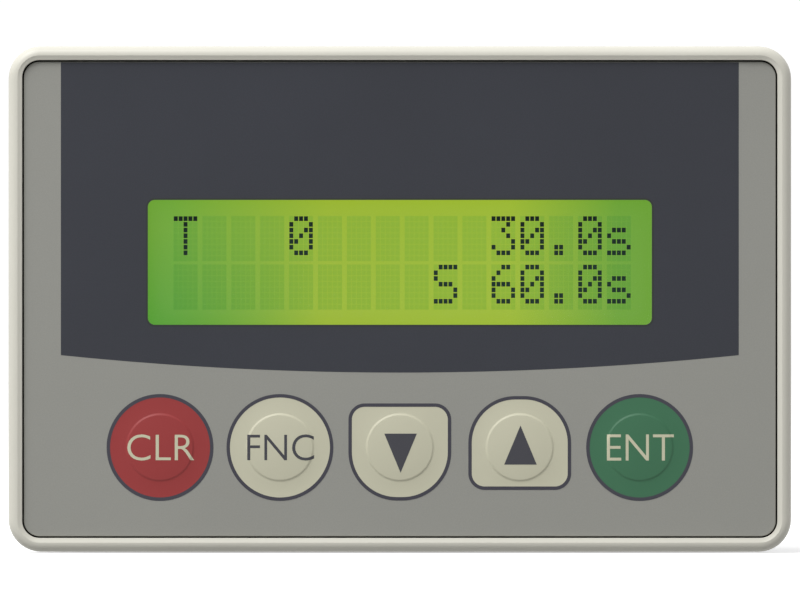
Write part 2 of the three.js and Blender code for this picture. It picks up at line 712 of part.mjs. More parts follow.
function boards() {
  const spacer = standoff();
  const screw = boardScrew();
  const fixings = FIXING_PLACES.flatMap(([x, z], index) => [
    piece(`standoff_${index + 1}`, spacer, BRASS, x, z),
    piece(`board_screw_${index + 1}`, screw, ZINC_STEEL, x, z),
  ]);
  return assembly(
    piece('main_board', mainBoard(), GREEN_LAMINATE),
    piece('processor', processor(), BLACK_PLASTIC),
    piece('power_module', onBoard(POWER_MODULE_SIZE, POWER_MODULE_PLACE), DARK_HOUSING),
    piece('relay', onBoard(RELAY_SIZE, RELAY_PLACE), BLUE_PLASTIC),
    piece('capacitor', capacitor(), SLEEVE_BLUE),
    piece('buzzer', buzzer(), BLACK_PLASTIC),
    piece('trimmer_body', trimmerBody(), BLUE_PLASTIC, ...TRIMMER_PLACE),
    piece('trimmer_rotor', trimmerRotor(), LIGHT_GUIDE, ...TRIMMER_PLACE),
    ...fixings,
  );
}

// ---------------------------------------------------------------- case and its screws

// The case screw stands on the Y axis with its head's face at y = 0; a margin makes it a cutting tool.
function caseScrewProfile(margin, reach) {
  const head = CASE_SCREW_HEAD + 2 * margin;
  const shank = CASE_SCREW_DIAMETER + 2 * margin;
  return turned([
    [0, -CASE_SCREW_LENGTH - margin],
    [shank, -CASE_SCREW_LENGTH - margin],
    [shank, -CASE_SCREW_HEAD_HEIGHT],
    [head, 0],
    ...(reach > 0 ? [[head, reach]] : []),
    [0, reach],
  ]);
}

function countersink({ side, z }) {
  const tool = caseScrewProfile(TURNED_GAP, OVERCUT);
  tool.rotateZ(-side * Math.PI / 2);
  return tool.translate(side * CASE_WIDTH / 2, CASE_SCREW_BEHIND, z);
}

function rearWallTool(width, height, x, z) {
  return block(width, CASE_INNER_REAR - OVERCUT, CASE_DEPTH + OVERCUT, height, x, z);
}

function vents() {
  const [centre, z] = POWER_MODULE_PLACE;
  return Array.from({ length: VENT_COUNT }, (_, index) => {
    const x = centre + (index - (VENT_COUNT - 1) / 2) * VENT_PITCH;
    return rearWallTool(VENT_WIDTH, VENT_HEIGHT, x, z);
  });
}

function hookSlots() {
  const front = HOOK_FRONT - FIT_GAP;
  const rear = HOOK_FRONT + HOOK_LENGTH + HOOK_TOE + LOOSE_GAP;
  return [1, -1].flatMap((up) => [-1, 1].map((side) => block(
    HOOK_WIDTH + 2 * FIT_GAP,
    front,
    rear,
    CASE_WALL + 2 * OVERCUT,
    side * HOOK_SPREAD / 2,
    up * (CASE_HEIGHT - CASE_WALL) / 2,
  )));
}

function trimmerAccess() {
  const [x, z] = TRIMMER_PLACE;
  return rod(TRIMMER_ACCESS_DIAMETER, CASE_INNER_REAR - OVERCUT, CASE_DEPTH + OVERCUT, x, z);
}

function caseShell() {
  return cut(
    slab(roundedRect(CASE_WIDTH, CASE_HEIGHT, CASE_CORNER), CASE_MOUTH, CASE_DEPTH),
    slab(
      roundedRect(CASE_INNER_WIDTH, CASE_INNER_HEIGHT, CASE_INNER_CORNER),
      CASE_MOUTH - OVERCUT,
      CASE_INNER_REAR,
    ),
    rearWallTool(BLOCK_WIDTH + 2 * LOOSE_GAP, BLOCK_HEIGHT + 2 * LOOSE_GAP, 0, BLOCK_Z),
    ...vents(),
    ...hookSlots(),
    trimmerAccess(),
    ...CASE_SCREW_PLACES.map(countersink),
  );
}

function caseScrew({ side, z }, index) {
  const screw = piece(`case_screw_${index + 1}`, caseScrewProfile(0, 0), ZINC_STEEL);
  screw.rotation.z = -side * Math.PI / 2;
  screw.position.set(side * (CASE_WIDTH / 2 - FIT_GAP / 2), CASE_SCREW_BEHIND, z);
  return screw;
}

function housing() {
  return assembly(
    piece('case', caseShell(), DARK_HOUSING),
    ...CASE_SCREW_PLACES.map(caseScrew),
  );
}

// ---------------------------------------------------------------- panel clamps

// A clamp stands on the face z = 0 of its group, which is the case's upper or lower face.
function clampHook(side) {
  const x = side * HOOK_SPREAD / 2;
  const bottom = -(CASE_WALL + FIT_GAP + HOOK_TOE_THICKNESS);
  const top = FIT_GAP + CLAMP_BASE / 2;
  const leg = block(HOOK_WIDTH, HOOK_FRONT, HOOK_FRONT + HOOK_LENGTH, top - bottom, x, (top + bottom) / 2);
  const toe = block(
    HOOK_WIDTH,
    HOOK_FRONT - HOOK_TOE,
    HOOK_FRONT + HOOK_LENGTH / 2,
    HOOK_TOE_THICKNESS,
    x,
    bottom + HOOK_TOE_THICKNESS / 2,
  );
  return [leg, toe];
}

function clampBracket() {
  const base = block(CLAMP_WIDTH, CLAMP_FRONT, CLAMP_REAR, CLAMP_BASE, 0, FIT_GAP + CLAMP_BASE / 2);
  const lug = block(
    CLAMP_LUG_WIDTH,
    CLAMP_REAR - CLAMP_LUG,
    CLAMP_REAR,
    CLAMP_LUG_TOP - FIT_GAP,
    0,
    (CLAMP_LUG_TOP + FIT_GAP) / 2,
  );
  const thread = rod(
    CLAMP_SCREW_DIAMETER + 2 * SLIDE_GAP,
    CLAMP_FRONT,
    CLAMP_REAR + OVERCUT,
    0,
    CLAMP_SCREW_HEIGHT,
  );
  return cut(joined(base, lug, ...clampHook(-1), ...clampHook(1)), thread);
}

function clampFoot() {
  const rear = PANEL_GAP + FOOT_THICKNESS;
  return cut(
    block(FOOT_WIDTH, PANEL_GAP, rear, FOOT_HEIGHT, 0, FOOT_LIFT + FOOT_HEIGHT / 2),
    rod(
      CLAMP_SCREW_TIP + 2 * SLIDE_GAP,
      rear - CLAMP_SCREW_TIP_LENGTH - SLIDE_GAP,
      rear + OVERCUT,
      0,
      CLAMP_SCREW_HEIGHT,
    ),
  );
}

function clampScrew() {
  const footRear = PANEL_GAP + FOOT_THICKNESS;
  const headFront = CLAMP_REAR + PANEL_GAP - PANEL_THINNEST + CLAMP_SCREW_RESERVE;
  const headRear = headFront + CLAMP_SCREW_HEAD_HEIGHT;
  const body = turned([
    [0, footRear - CLAMP_SCREW_TIP_LENGTH],
    [CLAMP_SCREW_TIP, footRear - CLAMP_SCREW_TIP_LENGTH],
    [CLAMP_SCREW_TIP, footRear + SLIDE_GAP],
    [CLAMP_SCREW_DIAMETER, footRear + SLIDE_GAP],
    [CLAMP_SCREW_DIAMETER, headFront],
    [CLAMP_SCREW_HEAD, headFront],
    [CLAMP_SCREW_HEAD, headRear],
    [0, headRear],
  ]);
  const slot = block(2 * CLAMP_SCREW_HEAD, headRear - CLAMP_SCREW_SLOT, headRear + OVERCUT, CLAMP_SCREW_SLOT);
  return cut(body, slot);
}

function clamp(place, turn) {
  const group = assembly(
    piece(`clamp_bracket_${place}`, clampBracket(), DARK_HOUSING),
    piece(`clamp_foot_${place}`, clampFoot(), BLACK_PLASTIC),
    piece(`clamp_screw_${place}`, clampScrew(), ZINC_STEEL, 0, CLAMP_SCREW_HEIGHT),
  );
  group.rotation.y = turn;
  group.position.z = Math.cos(turn) * CASE_HEIGHT / 2;
  return group;
}

// ---------------------------------------------------------------- terminals

function terminalBlock() {
  const body = block(BLOCK_WIDTH, MAIN_BOARD_REAR + SEAT_GAP, BLOCK_REAR, BLOCK_HEIGHT, 0, BLOCK_Z);
  const bayHeight = BLOCK_HEIGHT - BLOCK_TOP_WALL + OVERCUT;
  const bayZ = BLOCK_BOTTOM - OVERCUT + bayHeight / 2;
  const bays = POLE_PLACES.map((x) => block(
    POLE_PITCH - POLE_WALL,
    BAY_FLOOR,
    BLOCK_REAR + OVERCUT,
    bayHeight,
    x,
    bayZ,
  ));
  const threads = POLE_PLACES.map((x) => rod(
    TERMINAL_SCREW_DIAMETER + 2 * SLIDE_GAP,
    BAY_FLOOR - TERMINAL_SCREW_LENGTH,
    BAY_FLOOR + OVERCUT,
    x,
    TERMINAL_Z,
  ));
  return cut(body, ...bays, ...threads);
}

function terminalWasher() {
  const plate = roundedRect(WASHER_SIZE, WASHER_SIZE, WASHER_CORNER);
  plate.holes.push(roundOpening(TERMINAL_SCREW_DIAMETER + 2 * SLIDE_GAP));
  return slab(plate, BAY_FLOOR + SEAT_GAP, BAY_FLOOR + SEAT_GAP + WASHER_THICKNESS);
}

function terminalScrew() {
  const seat = BAY_FLOOR + WASHER_THICKNESS + 2 * SEAT_GAP;
  const top = seat + TERMINAL_SCREW_HEAD_HEIGHT;
  const body = turned([
    [0, seat - TERMINAL_SCREW_LENGTH],
    [TERMINAL_SCREW_DIAMETER, seat - TERMINAL_SCREW_LENGTH],
    [TERMINAL_SCREW_DIAMETER, seat],
    [TERMINAL_SCREW_HEAD, seat],
    [TERMINAL_SCREW_HEAD, top - TERMINAL_SCREW_CROWN],
    [TERMINAL_SCREW_HEAD - 2 * TERMINAL_SCREW_CROWN, top],
    [0, top],
  ]);
  const slot = block(2 * TERMINAL_SCREW_HEAD, top - TERMINAL_SCREW_SLOT, top + OVERCUT, TERMINAL_SCREW_SLOT);
  return cut(body, slot);
}

function terminals() {
  const washer = terminalWasher();
  const screw = terminalScrew();
  const poles = POLE_PLACES.flatMap((x, index) => [
    piece(`terminal_washer_${index + 1}`, washer, ZINC_STEEL, x, TERMINAL_Z),
    piece(`terminal_screw_${index + 1}`, screw, ZINC_STEEL, x, TERMINAL_Z),
  ]);
  return assembly(piece('terminal_block', terminalBlock(), BROWN_PHENOLIC), ...poles);
}

// ---------------------------------------------------------------- the timer

const timer = assembly(
  front(),
  display(),
  keys(),
  boards(),
  housing(),
  clamp('top', 0),
  clamp('bottom', Math.PI),
  terminals(),
);

export default timer;
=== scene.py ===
"""An enlarger timer for a panel cut-out: printed film front, lit character display, case and clamps."""

import json
import logging
import math
from collections.abc import Iterable, Sequence
from dataclasses import dataclass, field
from enum import Enum

import bmesh
import bpy
from mathutils import Matrix, Vector


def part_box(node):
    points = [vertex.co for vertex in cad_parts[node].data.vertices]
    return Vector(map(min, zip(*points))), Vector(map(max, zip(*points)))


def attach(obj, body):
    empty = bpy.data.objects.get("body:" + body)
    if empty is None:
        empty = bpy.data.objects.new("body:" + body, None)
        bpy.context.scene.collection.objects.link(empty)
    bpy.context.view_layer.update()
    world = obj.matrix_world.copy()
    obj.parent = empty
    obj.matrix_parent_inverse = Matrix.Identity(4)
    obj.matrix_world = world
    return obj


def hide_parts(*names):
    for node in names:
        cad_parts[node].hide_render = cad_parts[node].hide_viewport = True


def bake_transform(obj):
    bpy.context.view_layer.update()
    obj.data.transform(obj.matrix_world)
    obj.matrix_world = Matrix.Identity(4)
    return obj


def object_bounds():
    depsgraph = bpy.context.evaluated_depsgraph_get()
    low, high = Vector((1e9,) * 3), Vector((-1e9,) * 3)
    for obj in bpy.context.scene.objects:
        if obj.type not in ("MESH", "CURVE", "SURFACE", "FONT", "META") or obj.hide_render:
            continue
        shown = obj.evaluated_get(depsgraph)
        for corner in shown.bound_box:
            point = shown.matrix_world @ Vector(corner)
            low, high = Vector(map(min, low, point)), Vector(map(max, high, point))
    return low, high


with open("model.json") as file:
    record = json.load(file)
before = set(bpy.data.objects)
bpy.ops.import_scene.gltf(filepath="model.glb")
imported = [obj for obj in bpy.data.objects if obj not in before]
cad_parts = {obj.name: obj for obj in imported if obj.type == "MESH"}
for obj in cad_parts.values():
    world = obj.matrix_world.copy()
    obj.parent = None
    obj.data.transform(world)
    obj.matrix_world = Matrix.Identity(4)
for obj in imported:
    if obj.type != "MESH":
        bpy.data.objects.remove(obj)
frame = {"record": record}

CAD_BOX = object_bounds()
LOG = logging.getLogger("enlarger_timer")
MM = 0.001
HOUSING = "housing"
UPRIGHT = Matrix.Rotation(math.pi / 2, 4, "X")
MERGE = 0.001 * MM
KEY_SEGMENTS = 20

Colour = tuple[float, float, float]
Socket = bpy.types.NodeSocket
Material = bpy.types.Material
Piece = bpy.types.Object
Mesh = bmesh.types.BMesh
Loop = list[bmesh.types.BMEdge]


def srgb(red: int, green: int, blue: int) -> Colour:
    """Turns a display colour into linear light.

    Args:
        red: red from 0 to 255.
        green: green from 0 to 255.
        blue: blue from 0 to 255.

    Returns:
        The linear red, green and blue.
    """
    parts = (value / 255 for value in (red, green, blue))
    return tuple(p / 12.92 if p <= 0.04045 else ((p + 0.055) / 1.055) ** 2.4 for p in parts)


def scaled(colour: Colour, factor: float) -> Colour:
    """Makes a colour lighter or darker by a factor."""
    return tuple(channel * factor for channel in colour)


def tinted(colour: Colour, tint: Colour) -> Colour:
    """Passes a colour through a tint."""
    return tuple(channel * share for channel, share in zip(colour, tint))


# ---------------------------------------------------------------- finishes


class Recipe:
    """The node tree of one material, built a node at a time."""

    def __init__(self, name: str) -> None:
        """Starts a material with its shader and output.

        Args:
            name: the material's name.
        """
        self.material = bpy.data.materials.new(name)
        self.material.use_nodes = True
        self.tree = self.material.node_tree
        self.shader = self.tree.nodes["Principled BSDF"]

    def node(self, kind: str, **settings: object) -> bpy.types.Node:
        """Adds a node.

        Args:
            kind: the node's type without its ShaderNode prefix.
            **settings: attributes of the node.

        Returns:
            The new node.
        """
        node = self.tree.nodes.new("ShaderNode" + kind)
        for key, value in settings.items():
            setattr(node, key, value)
        return node

    def link(self, source: Socket, target: Socket) -> None:
        """Links one socket to another."""
        self.tree.links.new(source, target)

    def place(self) -> Socket:
        """Gives the socket with the surface point in the object's own coordinates."""
        return self.node("TexCoord").outputs["Object"]

    def noise(self, size: float, detail: float = 3.0, stretch: Sequence[float] = (1, 1, 1)) -> Socket:
        """Adds a noise pattern.

        Args:
            size: the pattern's grain in metres.
            detail: how many finer layers it has.
            stretch: how much finer it is along each axis.

        Returns:
            The socket with the pattern from 0 to 1.
        """
        mapping = self.node("Mapping")
        mapping.inputs["Scale"].default_value = stretch
        self.link(self.place(), mapping.inputs["Vector"])
        noise = self.node("TexNoise")
        noise.inputs["Scale"].default_value = 1 / size
        noise.inputs["Detail"].default_value = detail
        self.link(mapping.outputs["Vector"], noise.inputs["Vector"])
        return noise.outputs["Fac"]

    def ramp(self, source: Socket, stops: Sequence[tuple[float, Colour]]) -> Socket:
        """Adds a colour ramp.

        Args:
            source: the socket that drives it.
            stops: pairs of place and colour.

        Returns:
            The socket with the colour.
        """
        ramp = self.node("ValToRGB")
        elements = ramp.color_ramp.elements
        while len(elements) < len(stops):
            elements.new(0.5)
        for element, (place, colour) in zip(elements, stops):
            element.position = place
            element.color = (*colour, 1)
        self.link(source, ramp.inputs["Fac"])
        return ramp.outputs["Color"]

    def span(self, source: Socket, low: float, high: float, start: float = 0.0, end: float = 1.0) -> Socket:
        """Maps a stretch of values onto low to high.

        Args:
            source: the socket with the value.
            low: the result at start.
            high: the result at end.
            start: the value that gives low.
            end: the value that gives high.

        Returns:
            The socket with the result.
        """
        node = self.node("MapRange")
        node.inputs["From Min"].default_value = start
        node.inputs["From Max"].default_value = end
        node.inputs["To Min"].default_value = low
        node.inputs["To Max"].default_value = high
        self.link(source, node.inputs["Value"])
        return node.outputs["Result"]

    def bump(self, height: Socket, distance: float, strength: float = 1.0) -> None:
        """Raises the surface by a pattern.

        Args:
            height: the socket with the pattern.
            distance: the relief in metres.
            strength: how much of it shows.
        """
        node = self.node("Bump")
        node.inputs["Distance"].default_value = distance
        node.inputs["Strength"].default_value = strength
        self.link(height, node.inputs["Height"])
        self.link(node.outputs["Normal"], self.shader.inputs["Normal"])

    def set(self, **values: object) -> None:
        """Sets the shader's own sockets.

        Args:
            **values: socket names, with underscores for spaces, and their values.
        """
        for key, value in values.items():
            self.shader.inputs[key.replace("_", " ")].default_value = value


@dataclass(frozen=True)
class Plastic:
    """A moulded or printed plastic with a fine grain and slightly uneven colour."""

    name: str
    slot: str
    colour: Colour
    roughness: float = 0.5
    grain: float = 0.35 * MM
    relief: float = 0.006 * MM
    mottle: float = 0.06
    coat: float = 0.0
    shine: float = 0.3
    speckle: float = 0.25

    def material(self) -> Material:
        """Builds the material.

        Returns:
            the material.
        """
        recipe = Recipe(self.name)
        fine = recipe.noise(self.grain, 2.0)
        blend = recipe.node("MixRGB")
        blend.inputs["Fac"].default_value = self.speckle
        recipe.link(recipe.noise(18 * MM, 2.0), blend.inputs["Color1"])
        recipe.link(fine, blend.inputs["Color2"])
        stops = [(0.3, scaled(self.colour, 1 - self.mottle)), (0.7, scaled(self.colour, 1 + self.mottle))]
        recipe.link(recipe.ramp(blend.outputs["Color"], stops), recipe.shader.inputs["Base Color"])
        rough = recipe.span(fine, self.roughness - 0.06, self.roughness + 0.06, 0.3, 0.7)
        recipe.link(rough, recipe.shader.inputs["Roughness"])
        recipe.bump(fine, self.relief, 0.6)
        recipe.set(Coat_Weight=self.coat, Coat_Roughness=0.3, Specular_IOR_Level=self.shine)
        return recipe.material


@dataclass(frozen=True)
class Metal:
    """A plated or turned metal with fine tool marks."""

    name: str
    slot: str
    colour: Colour
    roughness: float = 0.3
    stretch: tuple[float, float, float] = (1, 12, 1)

    def material(self) -> Material:
        """Builds the material.

        Returns:
            the material.
        """
        recipe = Recipe(self.name)
        marks = recipe.noise(0.25 * MM, 3.0, self.stretch)
        stops = [(0.25, scaled(self.colour, 0.92)), (0.75, self.colour)]
        recipe.link(recipe.ramp(marks, stops), recipe.shader.inputs["Base Color"])
        rough = recipe.span(marks, self.roughness - 0.05, self.roughness + 0.08, 0.3, 0.7)
        recipe.link(rough, recipe.shader.inputs["Roughness"])
        recipe.bump(marks, 0.002 * MM, 0.4)
        recipe.set(Metallic=1.0)
        return recipe.material


@dataclass(frozen=True)
class LitCell:
    """The lit liquid crystal cell: bright in the middle, greener at its ends and lower left corner."""

    name: str
    slot: str
    middle: Colour
    ends: Colour
    corner: Colour
    half_width: float
    centre: tuple[float, float]
    tint: Colour = (1.0, 1.0, 1.0)

    def material(self) -> Material:
        """Builds the material.

        Returns:
            the material.
        """
        recipe = Recipe(self.name)
        axes = recipe.node("SeparateXYZ")
        recipe.link(recipe.place(), axes.inputs["Vector"])
        along = recipe.span(axes.outputs["X"], 0, 1, -self.half_width, self.half_width)
        stops = [
            (0.0, self.ends),
            (0.05, scaled(self.ends, 1.06)),
            (0.36, self.middle),
            (0.72, scaled(self.middle, 1.03)),
            (0.93, self.ends),
            (1.0, scaled(self.ends, 0.97)),
        ]
        glow = recipe.ramp(along, [(place, tinted(colour, self.tint)) for place, colour in stops])
        low = recipe.span(axes.outputs["Z"], 1, 0, self.centre[1] - 8 * MM, self.centre[1] + 4 * MM)
        left = recipe.span(axes.outputs["X"], 1, 0, -self.half_width, -self.half_width / 3)
        both = recipe.node("Math", operation="MULTIPLY")
        recipe.link(low, both.inputs[0])
        recipe.link(left, both.inputs[1])
        mix = recipe.node("MixRGB")
        recipe.link(both.outputs["Value"], mix.inputs["Fac"])
        recipe.link(glow, mix.inputs["Color1"])
        mix.inputs["Color2"].default_value = (*tinted(self.corner, self.tint), 1)
        recipe.link(mix.outputs["Color"], recipe.shader.inputs["Emission Color"])
        recipe.set(Emission_Strength=0.94, Base_Color=(0.0, 0.0, 0.0, 1))
        recipe.set(Roughness=0.35, Specular_IOR_Level=0.1)
        return recipe.material


@dataclass(frozen=True)
class Clear:
    """A clear pane that lets the display through."""

    name: str
    slot: str
    colour: Colour
    alpha: float = 0.01

    def material(self) -> Material:
        """Builds the material.

        Returns:
            the material.
        """
        recipe = Recipe(self.name)
        haze = recipe.noise(6 * MM, 2.0)
        recipe.link(recipe.span(haze, 0.05, 0.12), recipe.shader.inputs["Roughness"])
        stops = [(0.3, scaled(self.colour, 0.9)), (0.7, self.colour)]
        recipe.link(recipe.ramp(haze, stops), recipe.shader.inputs["Base Color"])
        recipe.set(Alpha=self.alpha, Specular_IOR_Level=0.2)
        recipe.material.surface_render_method = "BLENDED"
        return recipe.material


@dataclass(frozen=True)
class Laminate:
    """A solder-masked circuit board with faint tracks."""

    name: str
    slot: str
    colour: Colour

    def material(self) -> Material:
        """Builds the material.

        Returns:
            the material.
        """
        recipe = Recipe(self.name)
        turn = recipe.node("Mapping")
        turn.inputs["Rotation"].default_value = (math.pi / 2, 0, 0)
        recipe.link(recipe.place(), turn.inputs["Vector"])
        tracks = recipe.node("TexBrick", offset=0.37, squash=1.4)
        tracks.inputs["Scale"].default_value = 120
        tracks.inputs["Mortar Size"].default_value = 0.012
        tracks.inputs["Color1"].default_value = (*self.colour, 1)
        tracks.inputs["Color2"].default_value = (*scaled(self.colour, 0.85), 1)
        tracks.inputs["Mortar"].default_value = (*scaled(self.colour, 1.9), 1)
        recipe.link(turn.outputs["Vector"], tracks.inputs["Vector"])
        recipe.link(tracks.outputs["Color"], recipe.shader.inputs["Base Color"])
        recipe.link(recipe.span(recipe.noise(2 * MM), 0.25, 0.4), recipe.shader.inputs["Roughness"])
        recipe.bump(tracks.outputs["Fac"], 0.02 * MM)
        return recipe.material


FinishType = Plastic | Metal | LitCell | Clear | Laminate


class Finish(Enum):
    """The timer's finishes, by the material slot of the record where there is one."""

    BEZEL = Plastic(
        "warm_grey_moulding", "bezel_plastic", srgb(205, 203, 192), 0.42, 0.5 * MM, 0.004 * MM, 0.02, 0.1
    )
    FILM = Plastic(
        "grey_film", "printed_film", srgb(145, 145, 139), 0.5, 0.16 * MM, 0.005 * MM, 0.045, speckle=0.7
    )
    # Painted shade: a matte black sheet whose only visible part is the dark shade line in the gap between the
    # rim and the film.
    RIM_GAP_SHADE = Plastic(
        "rim_gap_painted_shade", "black_plastic", srgb(14, 14, 14), 0.9, 0.2 * MM, 0.004 * MM, 0.1, shine=0.0
    )
    CHARCOAL = Plastic(
        "charcoal_print", "printed_film", srgb(46, 48, 55), 0.5, 0.16 * MM, 0.006 * MM, 0.16, speckle=0.7
    )
    OUTLINE = Plastic(
        "outline_print", "printed_film", srgb(60, 59, 68), 0.5, 0.12 * MM, 0.003 * MM, 0.03
    )
    RED = Plastic("red_print", "red_key", srgb(146, 54, 54), 0.5, 0.12 * MM, 0.003 * MM, 0.03)
    IVORY = Plastic(
        "ivory_print", "ivory_key", srgb(194, 192, 170), 0.5, 0.12 * MM, 0.003 * MM, 0.02
    )
    GREEN = Plastic("green_print", "green_key", srgb(58, 106, 77), 0.5, 0.12 * MM, 0.003 * MM, 0.03)
    LEGEND_LIGHT = Plastic(
        "light_legend_print", "printed_film", srgb(196, 194, 168), 0.5, 0.12 * MM, 0.002 * MM, 0.02
    )
    LEGEND_DARK = Plastic(
        "dark_legend_print", "printed_film", srgb(62, 62, 68), 0.5, 0.12 * MM, 0.002 * MM, 0.02
    )
    # Painted shade: the dark line round the display window stands in for the shade at the film's cut edge.
    WINDOW_EDGE_SHADE = Plastic(
        "window_edge_painted_shade", "printed_film", srgb(40, 44, 40), 0.6, 0.2 * MM, 0.002 * MM, 0.04
    )
    PANE = Clear("window_pane", "clear_pane", (0.9, 0.95, 0.9))
    DOT = Plastic(
        "dark_dot", "lcd_glass", srgb(10, 42, 30), 0.6, 0.2 * MM, 0.001 * MM, 0.05, shine=0.05
    )
    HOUSING = Plastic(
        "textured_housing", "housing_plastic", srgb(52, 54, 58), 0.6, 0.45 * MM, 0.03 * MM, 0.08
    )
    BLACK = Plastic(
        "black_moulding", "black_plastic", srgb(34, 34, 36), 0.5, 0.4 * MM, 0.01 * MM, 0.08
    )
    PHENOLIC = Plastic(
        "terminal_moulding", "phenolic", srgb(44, 40, 38), 0.4, 0.4 * MM, 0.01 * MM, 0.1
    )
    RUBBER = Plastic(
        "closed_cell_foam", "rubber", srgb(30, 30, 31), 0.85, 0.25 * MM, 0.04 * MM, 0.15
    )
    MILKY = Plastic(
        "milky_moulding", "light_guide", srgb(226, 228, 208), 0.4, 0.6 * MM, 0.004 * MM, 0.04
    )
    RELAY = Plastic(
        "blue_moulding", "relay_blue", srgb(36, 84, 152), 0.35, 0.5 * MM, 0.004 * MM, 0.06
    )
    SLEEVE = Plastic(
        "shrunk_sleeve", "capacitor_sleeve", srgb(28, 44, 78), 0.3, 0.8 * MM, 0.004 * MM, 0.1
    )
    STEEL = Metal("zinc_plate", "zinc_steel", (0.62, 0.63, 0.65), 0.28)
    BLACK_STEEL = Metal("black_coated_steel", "black_steel", (0.05, 0.05, 0.055), 0.4)
    BRASS = Metal("turned_brass", "brass", (0.7, 0.5, 0.2), 0.28)
    BOARD = Laminate("solder_mask", "laminate", srgb(28, 84, 52))

    def material(self) -> Material:
        """Gives the finish's material, made at its first use.

        Returns:
            the material.
        """
        if self not in MADE:
            MADE[self] = self.value.material()
        return MADE[self]


MADE: dict[Finish, Material] = {}


# ---------------------------------------------------------------- mesh work


@dataclass(frozen=True)
class Ring:
    """A rounded rectangle across the depth axis.

    Sizes and places are in metres; radii run from the upper right corner, anticlockwise.
    """

    width: float
    height: float
    radii: tuple[float, float, float, float]
    y: float
    x: float = 0.0
    z: float = 0.0
    segments: int = 10

    @classmethod
    def even(
        cls,
        width: float,
        height: float,
        radius: float,
        y: float,
        x: float = 0.0,
        z: float = 0.0,
        segments: int = 10,
    ) -> "Ring":
        """Makes a ring with four equal corners."""
        return cls(width, height, (radius,) * 4, y, x, z, segments)

    @classmethod
    def round(cls, diameter: float, y: float, x: float = 0.0, z: float = 0.0, segments: int = 12) -> "Ring":
        """Makes a circle."""
        return cls.even(diameter, diameter, diameter / 2, y, x, z, segments)

    def grown(self, margin: float, y: float) -> "Ring":
        """Makes a copy that is larger all round.

        Args:
            margin: how far it grows, or shrinks if negative.
            y: the copy's depth.

        Returns:
            The copy.
        """
        radii = tuple(max(radius + margin, 0.01 * MM) for radius in self.radii)
        width, height = self.width + 2 * margin, self.height + 2 * margin
        return Ring(width, height, radii, y, self.x, self.z, self.segments)


def newest(before: set, now: Iterable) -> list:
    """Lists what a mesh holds now and didn't before."""
    return [item for item in now if item not in before]


def draw_ring(mesh: Mesh, ring: Ring, filled: bool = False) -> Loop:
    """Draws a ring's outline.

    Args:
        mesh: the mesh to draw in.
        ring: the outline.
        filled: whether its face stays.

    Returns:
        The outline's edges.
    """
    faces, edges = set(mesh.faces), set(mesh.edges)
    place = Matrix.Translation((ring.x, ring.y, ring.z)) @ UPRIGHT
    place = place @ Matrix.Diagonal((ring.width, ring.height, 1, 1))
    corners = bmesh.ops.create_grid(mesh, x_segments=1, y_segments=1, size=0.5, matrix=place)["verts"]
    by_corner = {
        (True, True): ring.radii[0],
        (False, True): ring.radii[1],
        (False, False): ring.radii[2],
        (True, False): ring.radii[3],
    }
    radius_of = {corner: by_corner[(corner.co.x > ring.x, corner.co.z > ring.z)] for corner in corners}
    grouped = [(size, [c for c in corners if radius_of[c] == size]) for size in set(radius_of.values())]
    longest = min(ring.width, ring.height) / 2
    for size, group in grouped:
        bmesh.ops.bevel(
            mesh,
            geom=group,
            offset=min(size, longest * 0.99999),
            offset_type="OFFSET",
            segments=ring.segments,
            profile=0.5,
            affect="VERTICES",
            material=-1,
        )
    if not filled:
        bmesh.ops.delete(mesh, geom=newest(faces, mesh.faces), context="FACES_ONLY")
    return newest(edges, mesh.edges)


def loft(
    mesh: Mesh, rings: Sequence[Ring], close_first: bool = True, close_last: bool = True
) -> tuple[Loop, Loop]:
    """Spans a skin from ring to ring.

    Args:
        mesh: the mesh to build in.
        rings: the rings in order.
        close_first: whether the first ring is filled.
        close_last: whether the last ring is filled.

    Returns:
        The edges of the first and the last ring.
    """
    last = len(rings) - 1
    loops = [
        draw_ring(mesh, ring, (index == 0 and close_first) or (index == last and close_last))
        for index, ring in enumerate(rings)
    ]
    for index, (lower, upper) in enumerate(zip(loops, loops[1:])):
        if rings[index].y == rings[index + 1].y:
            fill(mesh, lower, upper)
        else:
            bmesh.ops.bridge_loops(mesh, edges=lower + upper)
    return loops[0], loops[-1]


def extruded(mesh: Mesh, depth: float) -> None:
    """Gives a flat or open mesh a thickness along the depth axis.

    Args:
        mesh: the mesh.
        depth: how far back its copy stands, or forward if negative.
    """
    raised = bmesh.ops.extrude_face_region(mesh, geom=mesh.faces[:])["geom"]
    verts = [item for item in raised if isinstance(item, bmesh.types.BMVert)]
    bmesh.ops.translate(mesh, verts=verts, vec=(0, depth, 0))


def fill(mesh: Mesh, *loops: Loop) -> None:
    """Fills the flat stretch inside the first loop and outside the others.

    Args:
        mesh: the mesh to add to.
        loops: the outline, and the holes in it.
    """
    edges = [edge for loop in loops for edge in loop]
    bmesh.ops.triangle_fill(mesh, use_beauty=True, edges=edges, normal=(0, -1, 0))


def smooth_shading(mesh: Mesh, angle: float = math.radians(32)) -> None:
    """Shades a mesh smooth except over its sharp edges.

    Args:
        mesh: the mesh.
        angle: the angle between faces above which an edge stays sharp.
    """
    for face in mesh.faces:
        face.smooth = True
    for edge in mesh.edges:
        edge.smooth = len(edge.link_faces) == 2 and edge.calc_face_angle(math.pi) < angle


